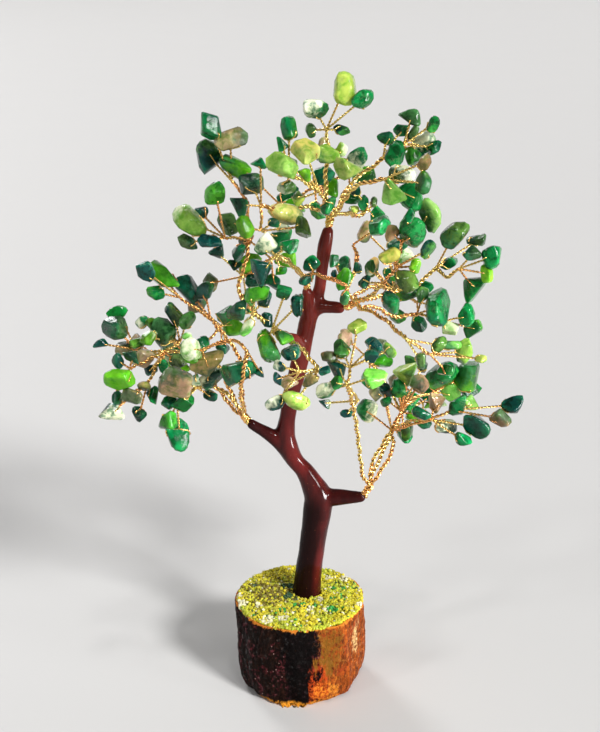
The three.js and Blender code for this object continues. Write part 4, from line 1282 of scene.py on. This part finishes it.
def stone_corners(draw):
    """Corners of a broken stone in shares of its half axes: two flat faces, and a wider belt between."""
    count = 3 + int(draw(0.2, 3.4))
    taper, skew, wedge = draw(-0.38, 0.38), draw(-0.28, 0.28), draw(-0.3, 0.3)
    first = draw(0, 2 * math.pi)
    corners = []
    for level, spread in ((1, draw(0.66, 0.92)), (0, BELT_SPREAD), (-1, draw(0.6, 0.9))):
        turn = first + draw(-0.35, 0.35)
        for k in range(count):
            angle = turn + 2 * math.pi * (k + draw(-0.2, 0.2)) / count
            c, s = math.cos(angle), math.sin(angle)
            blunt = (abs(c) ** BLUNTNESS + abs(s) ** BLUNTNESS) ** (-1 / BLUNTNESS)
            reach = blunt * spread * draw(0.84, 1.06) * (1.1 if count == 3 else 1)
            high = level * (FACE_HEIGHT + wedge * c * reach) if level else draw(-0.35, 0.35)
            along = c * reach
            corners.append((along, s * reach * (1 + taper * along) + skew * along, high))
    return corners


@cache
def chip_bodies(rounding):
    """The rounded stone of every chip, as a bmesh in millimetres, in the tree's order."""
    tree = grown_tree()
    draw = Draw(STONE_SEED)
    bodies = []
    for chip in tree.chips:
        bm = bmesh.new()
        axes = np.array(chip["axes"]) * chip["length"] * STONE_FULLNESS
        for corner in stone_corners(draw):
            bm.verts.new(tree.places[chip["place"]] + Vector(np.array(corner) @ axes))
        hull = bmesh.ops.convex_hull(bm, input=bm.verts[:])
        inside = [item for item in hull["geom_interior"] if isinstance(item, bmesh.types.BMVert)]
        bmesh.ops.delete(bm, geom=inside, context="VERTS")
        bmesh.ops.dissolve_limit(bm, angle_limit=math.radians(FLAT_ANGLE), verts=bm.verts[:],
            edges=bm.edges[:])
        bmesh.ops.bevel(bm, geom=bm.edges[:], affect="EDGES", segments=1, profile=0.5, material=-1,
            offset=rounding * chip["length"] * draw(0.6, 1.2), clamp_overlap=True)
        bmesh.ops.recalc_face_normals(bm, faces=bm.faces[:])
        bodies.append(bm)
    return bodies


def chips_of(name, rounding):
    """The chips of one bough, each with its stone."""
    return [(chip, body) for chip, body in zip(grown_tree().chips, chip_bodies(rounding))
        if chip["bough"] == name]


def letters(name):
    """A number of a name's own, from which its random draws start."""
    return sum(map(ord, name))


def make_chips(name, sizes, material):
    """The chips of one bough as one piece, each painted with the colours of its two ends."""
    draw = Draw(len(name) * COLOUR_FACTOR + letters(name))
    whole = bmesh.new()
    ones, others, shares, owns = [], [], [], []
    for chip, body in chips_of(name, sizes.rounding):
        pour(whole, body.copy())
        one, other = chip_colours(chip["shade"], draw, sizes)
        centre = np.array(grown_tree().places[chip["place"]])
        spans = np.array([axis / (axis @ axis) for axis in chip["axes"]]) / chip["length"]
        lie = unit(np.array((draw(-1, 1), draw(-1, 1), draw(-0.6, 0.6))))
        for vert in body.verts:
            place = spans @ (np.array(vert.co) - centre)
            shares.append(0.5 + 0.45 * place @ lie)
            owns.append(place)
            ones.append(one)
            others.append(other)
    mesh = modified(bare_mesh(f"chips_{name}", whole), [("WEIGHTED_NORMAL", {"weight": 60})])
    mesh.name = f"chips_{name}"
    paint(mesh, "one_end", "FLOAT_COLOR", ones)
    paint(mesh, "other_end", "FLOAT_COLOR", others)
    paint(mesh, "share", "FLOAT", shares)
    paint(mesh, "own", "FLOAT_VECTOR", owns)
    add_piece(f"chips_{name}", mesh, material, [f"bough_{name}"])


def chip_colours(shade, draw, sizes):
    """The colours of a chip's two ends: its own, and a whiter, darker, greener or lighter one."""
    own = getattr(sizes, SHADES[shade])
    light, yellow = draw(0.6, 1.1), draw(0.5, 1.4)
    if shade == "t":
        yellow = 0.6 + 0.3 * yellow
    own = [own[0] * light * yellow, own[1] * light, own[2] * light * draw(0.7, 1.6)]
    pick = draw(0, 1)
    if pick < WHITE_ENDS and shade != "t":
        whiteness = max(draw(0.4, 1) for _ in own)
        other = [c + (p - c) * whiteness for c, p in zip(own, sizes.white)]
    elif pick < DARK_ENDS:
        other = [c * 0.2 + d * 0.8 for c, d in zip(own, sizes.forest)]
    elif pick < LIME_ENDS:
        other = [c + (p - c) * draw(0.2, 0.6) for c, p in zip(own, sizes.lime)]
    else:
        other = [c * 1.3 for c in own]
    cloudiness = CLEAR_CLOUDINESS if shade in CLEAR_SHADES else CLOUDINESS
    return [min(1, c) for c in own] + [cloudiness], [min(1, c) for c in other] + [1]


def threaded(chip, body, hub, centre, sizes):
    """The two strands of a twig, each with its axis: twisted together from the hub, then over both faces
    and into the hole."""
    along = unit(centre - hub)
    stone = BVHTree.FromBMesh(body)
    near = stone.ray_cast(Vector(hub), Vector(along))[0]
    far = stone.ray_cast(Vector(centre + along * PAST_CHIP), Vector(-along))[0]
    if near is None or stone.ray_cast(Vector(hub), Vector(-along))[0] is not None:
        return []
    near, far = np.array(near), np.array(far)
    thin = chip["axes"][2] - along * (chip["axes"][2] @ along)
    face = unit(thin) if np.linalg.norm(thin) > 1e-3 else unit(np.cross(along, (0.3, -1, 0.2)))
    if face[1] > 0:
        face = -face
    reach = HOLE_SHARE * np.linalg.norm(far - near)
    lead = max(SHORTEST_STEM, np.linalg.norm(near - hub) - STEM_GAP)
    stem = flowing([hub, hub + along * lead], sizes.twig_pitch / TURN_STEPS)
    wound = twisted(stem, sizes.twig_strand, sizes.twig_pitch, chip["length"])
    strands = []
    for strand, way in zip(wound, (face, -face)):
        path = []
        for share in OVER_SHARES:
            base = near + along * reach * share
            hit = stone.ray_cast(Vector(base + way * ABOVE_CHIP), Vector(-way))[0]
            path.append(np.array(hit) + way * sizes.twig_strand * STRAND_LIFT if hit else base)
        path.append(near + along * reach * HOLE_END)
        over = flowing(path, OVER_STEP)
        strands.append((np.vstack([strand, over]), np.vstack([stem, over - way * sizes.twig_strand])))
    return strands


def gathered(line, stub, lead):
    """A cord's line, drawn in near its stub's end, where the boughs' cords are twisted in one bundle."""
    tree = grown_tree()
    tip, out = stub_end(stub)
    firsts = [np.array(tree.places[own[2]]) for name, own, rooted in tree.cords
        if rooted and len(own) > 2 and BOUGHS[name][0] == stub]
    axis = unit(sum(unit(place - tip) for place in firsts) + out)
    far = np.linalg.norm(line - tip, axis=1)
    hold = np.clip((GATHER_END - far) / (GATHER_END - GATHER_START), 0, 1)
    hold = (hold * hold * (3 - 2 * hold))[:, None]
    across = unit(np.cross(axis, (0.2, 1, 0.1)))
    up = np.cross(axis, across)
    angle = (lead + 2 * math.pi * far / GATHER_PITCH)[:, None]
    bundle = tip + axis * far[:, None] + GATHER_RADIUS * (across * np.cos(angle) + up * np.sin(angle))
    return line + (bundle - line) * hold


def cord_strands(name, sizes, draw):
    """The strands of a bough's cords: the places, the radius, the axis and the tone of each."""
    tree = grown_tree()
    step = sizes.cord_pitch / TURN_STEPS
    strands = []
    for owner, path, rooted in tree.cords:
        if owner != name:
            continue
        way = [np.array(tree.places[p]) for p in path]
        for k in range(1 if rooted or len(path) < 3 else 2):
            shift = np.array([draw(-1, 1) for _ in "xyz"]) * CORD_SHIFTS[k]
            bent = [place + (shift if 0 < n < len(way) - 1 else 0) for n, place in enumerate(way)]
            line = flowing(bent, step)
            wander = draw(0, 6) + np.arange(len(line))[:, None] * step * draw(*WANDER_PACE)
            waves = np.hstack([np.sin(wander), np.sin(wander * 1.3 + 1), np.cos(wander)])
            line = line + CORD_WANDER * waves
            if rooted:
                line = gathered(line, BOUGHS[name][0], draw(0, 6))
            radius = sizes.cord_strand * (ROOTED_SHARE if rooted else SECOND_SHARE if k else 1)
            pitch = sizes.cord_pitch * (ROOTED_PITCH if rooted else 1)
            tone = WIRE_TONES.get(name, PLAIN_TONE) + draw(-CORD_TONE_SPREAD, CORD_TONE_SPREAD)
            for n, wound in enumerate(twisted(line, radius, pitch, draw(0, 6))):
                strands.append((wound, radius * STRAND_SWELL, line, tone + CORD_TONE_STEP * n))
    return strands


def twig_strands(name, sizes, rounding, draw):
    """The strands of the twigs that hold a bough's chips, in the same form."""
    places = grown_tree().places
    strands = []
    for chip, body in chips_of(name, rounding):
        hub, centre = (np.array(places[chip[key]]) for key in ("hub", "place"))
        tone = WIRE_TONES.get(name, PLAIN_TONE) + draw(-TWIG_TONE_SPREAD, TWIG_TONE_SPREAD)
        for n, (strand, axis) in enumerate(threaded(chip, body, hub, centre, sizes)):
            strands.append((strand, sizes.twig_strand * STRAND_SWELL, axis, tone + TWIG_TONE_STEP * n))
    return strands


def make_wires(name, sizes, rounding, material):
    """The wire of one bough, painted with its tone, and with how far out on the twist it lies."""
    draw = Draw(1 + letters(name) * WIRE_FACTOR)
    strands = cord_strands(name, sizes, draw) + twig_strands(name, sizes, rounding, draw)
    lines, radii, axes, tones = zip(*strands)
    mesh = tubes(list(zip(lines, radii)))
    sides = len(mesh.vertices) // sum(map(len, axes))
    counts = [len(axis) * sides for axis in axes]
    places = np.zeros(len(mesh.vertices) * 3)
    mesh.vertices.foreach_get("co", places)
    offsets = places.reshape(-1, 3) - np.repeat(np.vstack(axes), sides, axis=0)
    paint(mesh, "crest", "FLOAT", np.linalg.norm(offsets, axis=1) / (2 * np.repeat(radii, counts)))
    paint(mesh, "tone", "FLOAT", np.repeat(tones, counts))
    add_piece(f"wires_{name}", mesh, material, [f"bough_{name}"])


# ---- floor, light and camera ---------------------------------------------------------------------


def add_light(name, kind, place, aim, settings):
    """A light that shines from its place at its aim, and that the camera doesn't see."""
    light = bpy.data.lights.new(name, kind)
    for key, value in settings.items():
        setattr(light, key, value)
    lamp = placed(name, light)
    lamp.location = place
    lamp.rotation_euler = (Vector(aim) - Vector(place)).to_track_quat("-Z", "Y").to_euler()
    lamp.visible_camera = False


def add_lights(sizes):
    for name, place, spread, strength in (
        ("key_light", (0.6, -0.62, 0.75), 12, sizes.key_strength),
        ("fill_light", (-0.7, -0.5, 0.8), 5, sizes.fill_strength),
        ("top_light", (0.1, -0.2, 1), 5, sizes.fill_strength),
        ("front_light", (-0.15, -0.9, 0.4), 4, 0.5 * sizes.fill_strength),
        ("back_light", (-0.4, 0.7, 0.6), 16, sizes.back_strength),
    ):
        add_light(name, "SUN", place, TREE_MIDDLE, {"angle": math.radians(spread), "energy": strength})
    width, height = STRIP_SIZE
    add_light("strip_light", "AREA", STRIP_PLACE, STRIP_AIM, {"shape": "RECTANGLE", "size": width,
        "size_y": height, "spread": math.radians(STRIP_SPREAD), "energy": sizes.strip_power})


def add_camera(scene):
    camera = bpy.data.cameras.new("camera")
    camera.sensor_width = SENSOR_WIDTH
    camera.lens = SENSOR_WIDTH * FOCAL_LENGTH / IMAGE_HEIGHT
    scene.camera = placed("camera", camera)
    scene.camera.location = CAMERA_PLACE
    scene.camera.rotation_euler = (math.radians(CAMERA_TILT), 0, 0)


def make_stage(sizes):
    """A floor that bends up far away, the light from all round, the lights and the camera."""
    bend = [(FLOOR_REACH + FLOOR_RISE * math.sin(a), FLOOR_RISE * (1 - math.cos(a)))
        for a in np.linspace(0, math.pi / 2, FLOOR_ROWS)]
    floor = placed("floor", bare_mesh("floor", spun([(0, 0)] + bend, FLOOR_SIDES, False)))
    floor.data.materials.append(floor_finish(sizes.floor))
    scene = bpy.context.scene
    scene.world = bpy.data.worlds.new("studio")
    scene.world.use_nodes = True
    background = scene.world.node_tree.nodes["Background"]
    background.inputs["Color"].default_value = (*sizes.surround, 1)
    background.inputs["Strength"].default_value = sizes.surround_strength
    add_lights(sizes)
    add_camera(scene)
    scene.view_settings.view_transform = "Standard"


# ---- settings, operators and panel ---------------------------------------------------------------


def amount(name, description, default, **more):
    return FloatProperty(name=name, description=description, default=default, min=0, **more)


def count(name, description, default):
    return IntProperty(name=name, description=description, default=default, min=0)


def tint(name, description, default):
    return FloatVectorProperty(name=name, description=description, default=default, subtype="COLOR",
        size=3, min=0, max=1)


class LogSettings(bpy.types.PropertyGroup):
    radius: amount("Radius", "Radius of the log slice in millimetres", 27.5)
    fissure_depth: amount("Fissure depth", "Depth of the cracks in the bark in millimetres", 0.7)
    dark_bark: tint("Dark bark", "Colour of the bark on the dark side", (0.008, 0.004, 0.003))
    plum_bark: tint("Plum bark", "Colour of the patches on the dark side", (0.16, 0.024, 0.034))
    rust_bark: tint("Rusty bark", "Colour of the bark on the rusty side", (0.55, 0.115, 0.016))


class CoverSettings(bpy.types.PropertyGroup):
    radius: amount("Radius", "Radius of the layer of crushed stone in millimetres", 27.5)
    grains: count("Grains", "Number of grains strewn on the bed", 4800)
    smallest: amount("Smallest grain", "Size of the smallest grain in millimetres", 0.8)
    largest: amount("Largest grain", "Size of the largest grain in millimetres", 1.9)
    yellow_grain: tint("Yellow grain", "Colour of most grains", (0.72, 0.6, 0.025))
    lime_grain: tint("Lime grain", "Colour of the greener grains", (0.44, 0.53, 0.03))
    white_grain: tint("White grain", "Colour of the whitish grains", (0.88, 0.84, 0.55))
    green_grain: tint("Green grain", "Colour of the bright green grains", (0.03, 0.35, 0.06))
    dark_grain: tint("Dark grain", "Colour of the dark green grains", (0.02, 0.08, 0.03))
    # the brown grains paint the trunk's shadow on the stone
    painted_shadow_grain: tint("Brown grain", "Colour of the grains in the dull patch", (0.2, 0.15, 0.015))


class TrunkSettings(bpy.types.PropertyGroup):
    voxel: amount("Voxel", "Size of the cells that the trunk's limbs are merged in, in millimetres", 0.55)
    smoothing: count("Smoothing", "How often the merged skin is smoothed", 14)
    lumps: amount("Lumps", "Height of the lacquer's unevenness in millimetres", 0.22)
    dark: tint("Dark lacquer", "Darkest colour of the lacquer", (0.012, 0.003, 0.003))
    red: tint("Red lacquer", "Reddest colour of the lacquer", (0.1, 0.008, 0.007))


class WireSettings(bpy.types.PropertyGroup):
    cord_strand: amount("Limb strand", "Radius of a strand of the limbs' cords in millimetres", 0.36)
    cord_pitch: amount("Limb pitch", "Length of one turn of the limbs' cords in millimetres", 4.0)
    twig_strand: amount("Twig strand", "Radius of a strand of the twigs in millimetres", 0.25)
    twig_pitch: amount("Twig pitch", "Length of one turn of the twigs in millimetres", 2.9)
    gold: tint("Gold", "Colour of the yellow wire", (1.0, 0.75, 0.23))
    copper: tint("Copper", "Colour of the red wire", (0.98, 0.45, 0.15))


class ChipSettings(bpy.types.PropertyGroup):
    rounding: amount("Rounding", "Width of a chip's rounded edges as a share of its length", 0.09, max=0.3,
        subtype="FACTOR")
    emerald: tint("Emerald", "Colour of the bright green chips", (0.001, 0.15, 0.026))
    forest: tint("Forest", "Colour of the darkest chips", (0.001, 0.045, 0.03))
    pale: tint("Pale", "Colour of the pale yellow-green chips", (0.3, 0.5, 0.07))
    lime: tint("Lime", "Colour of the lime chips", (0.09, 0.34, 0.008))
    olive: tint("Olive", "Colour of the grey-green chips", (0.06, 0.12, 0.025))
    tan: tint("Tan", "Colour of the tan chips", (0.4, 0.22, 0.09))
    yellow: tint("Yellow", "Colour of the yellow chips", (0.5, 0.56, 0.1))
    white: tint("White", "Colour of the white ends of some chips", (0.82, 0.85, 0.56))


class StageSettings(bpy.types.PropertyGroup):
    floor: tint("Floor", "Colour of the floor", (0.62, 0.61, 0.6))
    surround: tint("Surround", "Colour of the light from all round", (0.97, 0.98, 1.0))
    surround_strength: amount("Surround", "Strength of the light from all round", 0.2)
    key_strength: amount("Key", "Strength of the main light, from the right", 3.4)
    fill_strength: amount("Fill", "Strength of the lights on the left and above", 0.3)
    back_strength: amount("Back", "Strength of the light behind", 1.1)
    strip_power: amount("Strip", "Power of the strip of light low on the right", 0.085, unit="POWER")


SETTINGS = {"bonsai_log": LogSettings, "bonsai_cover": CoverSettings, "bonsai_trunk": TrunkSettings,
    "bonsai_wire": WireSettings, "bonsai_chips": ChipSettings, "bonsai_stage": StageSettings}


class BONSAI_OT_log(bpy.types.Operator):
    """Build the slice of log with its bark"""

    bl_idname = "bonsai.log"
    bl_label = "Log slice"

    def execute(self, context):
        make_log(context.scene.bonsai_log)
        return {"FINISHED"}


class BONSAI_OT_cover(bpy.types.Operator):
    """Build the layer of crushed stone on the log"""

    bl_idname = "bonsai.cover"
    bl_label = "Crushed stone"

    def execute(self, context):
        make_bed(context.scene.bonsai_cover.radius)
        make_grains(context.scene.bonsai_cover)
        return {"FINISHED"}


class BONSAI_OT_trunk(bpy.types.Operator):
    """Build the lacquered trunk with its stubs"""

    bl_idname = "bonsai.trunk"
    bl_label = "Trunk"

    def execute(self, context):
        make_trunk(context.scene.bonsai_trunk)
        return {"FINISHED"}


class BONSAI_OT_wires(bpy.types.Operator):
    """Build the twisted wire of every bough"""

    bl_idname = "bonsai.wires"
    bl_label = "Wire boughs"

    def execute(self, context):
        sizes = context.scene.bonsai_wire
        material = wire_finish(sizes.gold, sizes.copper)
        for name in BOUGHS:
            make_wires(name, sizes, context.scene.bonsai_chips.rounding, material)
        return {"FINISHED"}


class BONSAI_OT_chips(bpy.types.Operator):
    """Build the jade chips of every bough"""

    bl_idname = "bonsai.chips"
    bl_label = "Jade chips"

    def execute(self, context):
        sizes = context.scene.bonsai_chips
        material = jade_finish()
        for name in BOUGHS:
            make_chips(name, sizes, material)
        return {"FINISHED"}


class BONSAI_OT_stage(bpy.types.Operator):
    """Set up the floor, the lights and the camera"""

    bl_idname = "bonsai.stage"
    bl_label = "Stage"

    def execute(self, context):
        make_stage(context.scene.bonsai_stage)
        return {"FINISHED"}


OPERATORS = (BONSAI_OT_log, BONSAI_OT_cover, BONSAI_OT_trunk, BONSAI_OT_wires, BONSAI_OT_chips,
    BONSAI_OT_stage)


class BONSAI_PT_build(bpy.types.Panel):
    """Lists the pieces of the tree"""

    bl_idname = "BONSAI_PT_build"
    bl_label = "Jade chip bonsai"
    bl_space_type = "VIEW_3D"
    bl_region_type = "UI"
    bl_category = "Bonsai"

    def draw(self, context):
        for operator in OPERATORS:
            self.layout.operator(operator.bl_idname)
        for name, settings in SETTINGS.items():
            box = self.layout.box()
            for key in settings.__annotations__:
                box.prop(getattr(context.scene, name), key)


CLASSES = (*SETTINGS.values(), *OPERATORS, BONSAI_PT_build)


def register():
    for kind in CLASSES:
        bpy.utils.register_class(kind)
    for name, settings in SETTINGS.items():
        setattr(bpy.types.Scene, name, PointerProperty(type=settings))


def unregister():
    for name in SETTINGS:
        delattr(bpy.types.Scene, name)
    for kind in reversed(CLASSES):
        bpy.utils.unregister_class(kind)


def main():
    register()
    bpy.ops.bonsai.log()
    bpy.ops.bonsai.cover()
    bpy.ops.bonsai.trunk()
    bpy.ops.bonsai.wires()
    bpy.ops.bonsai.chips()
    bpy.ops.bonsai.stage()


if __name__ == "__main__":
    main()
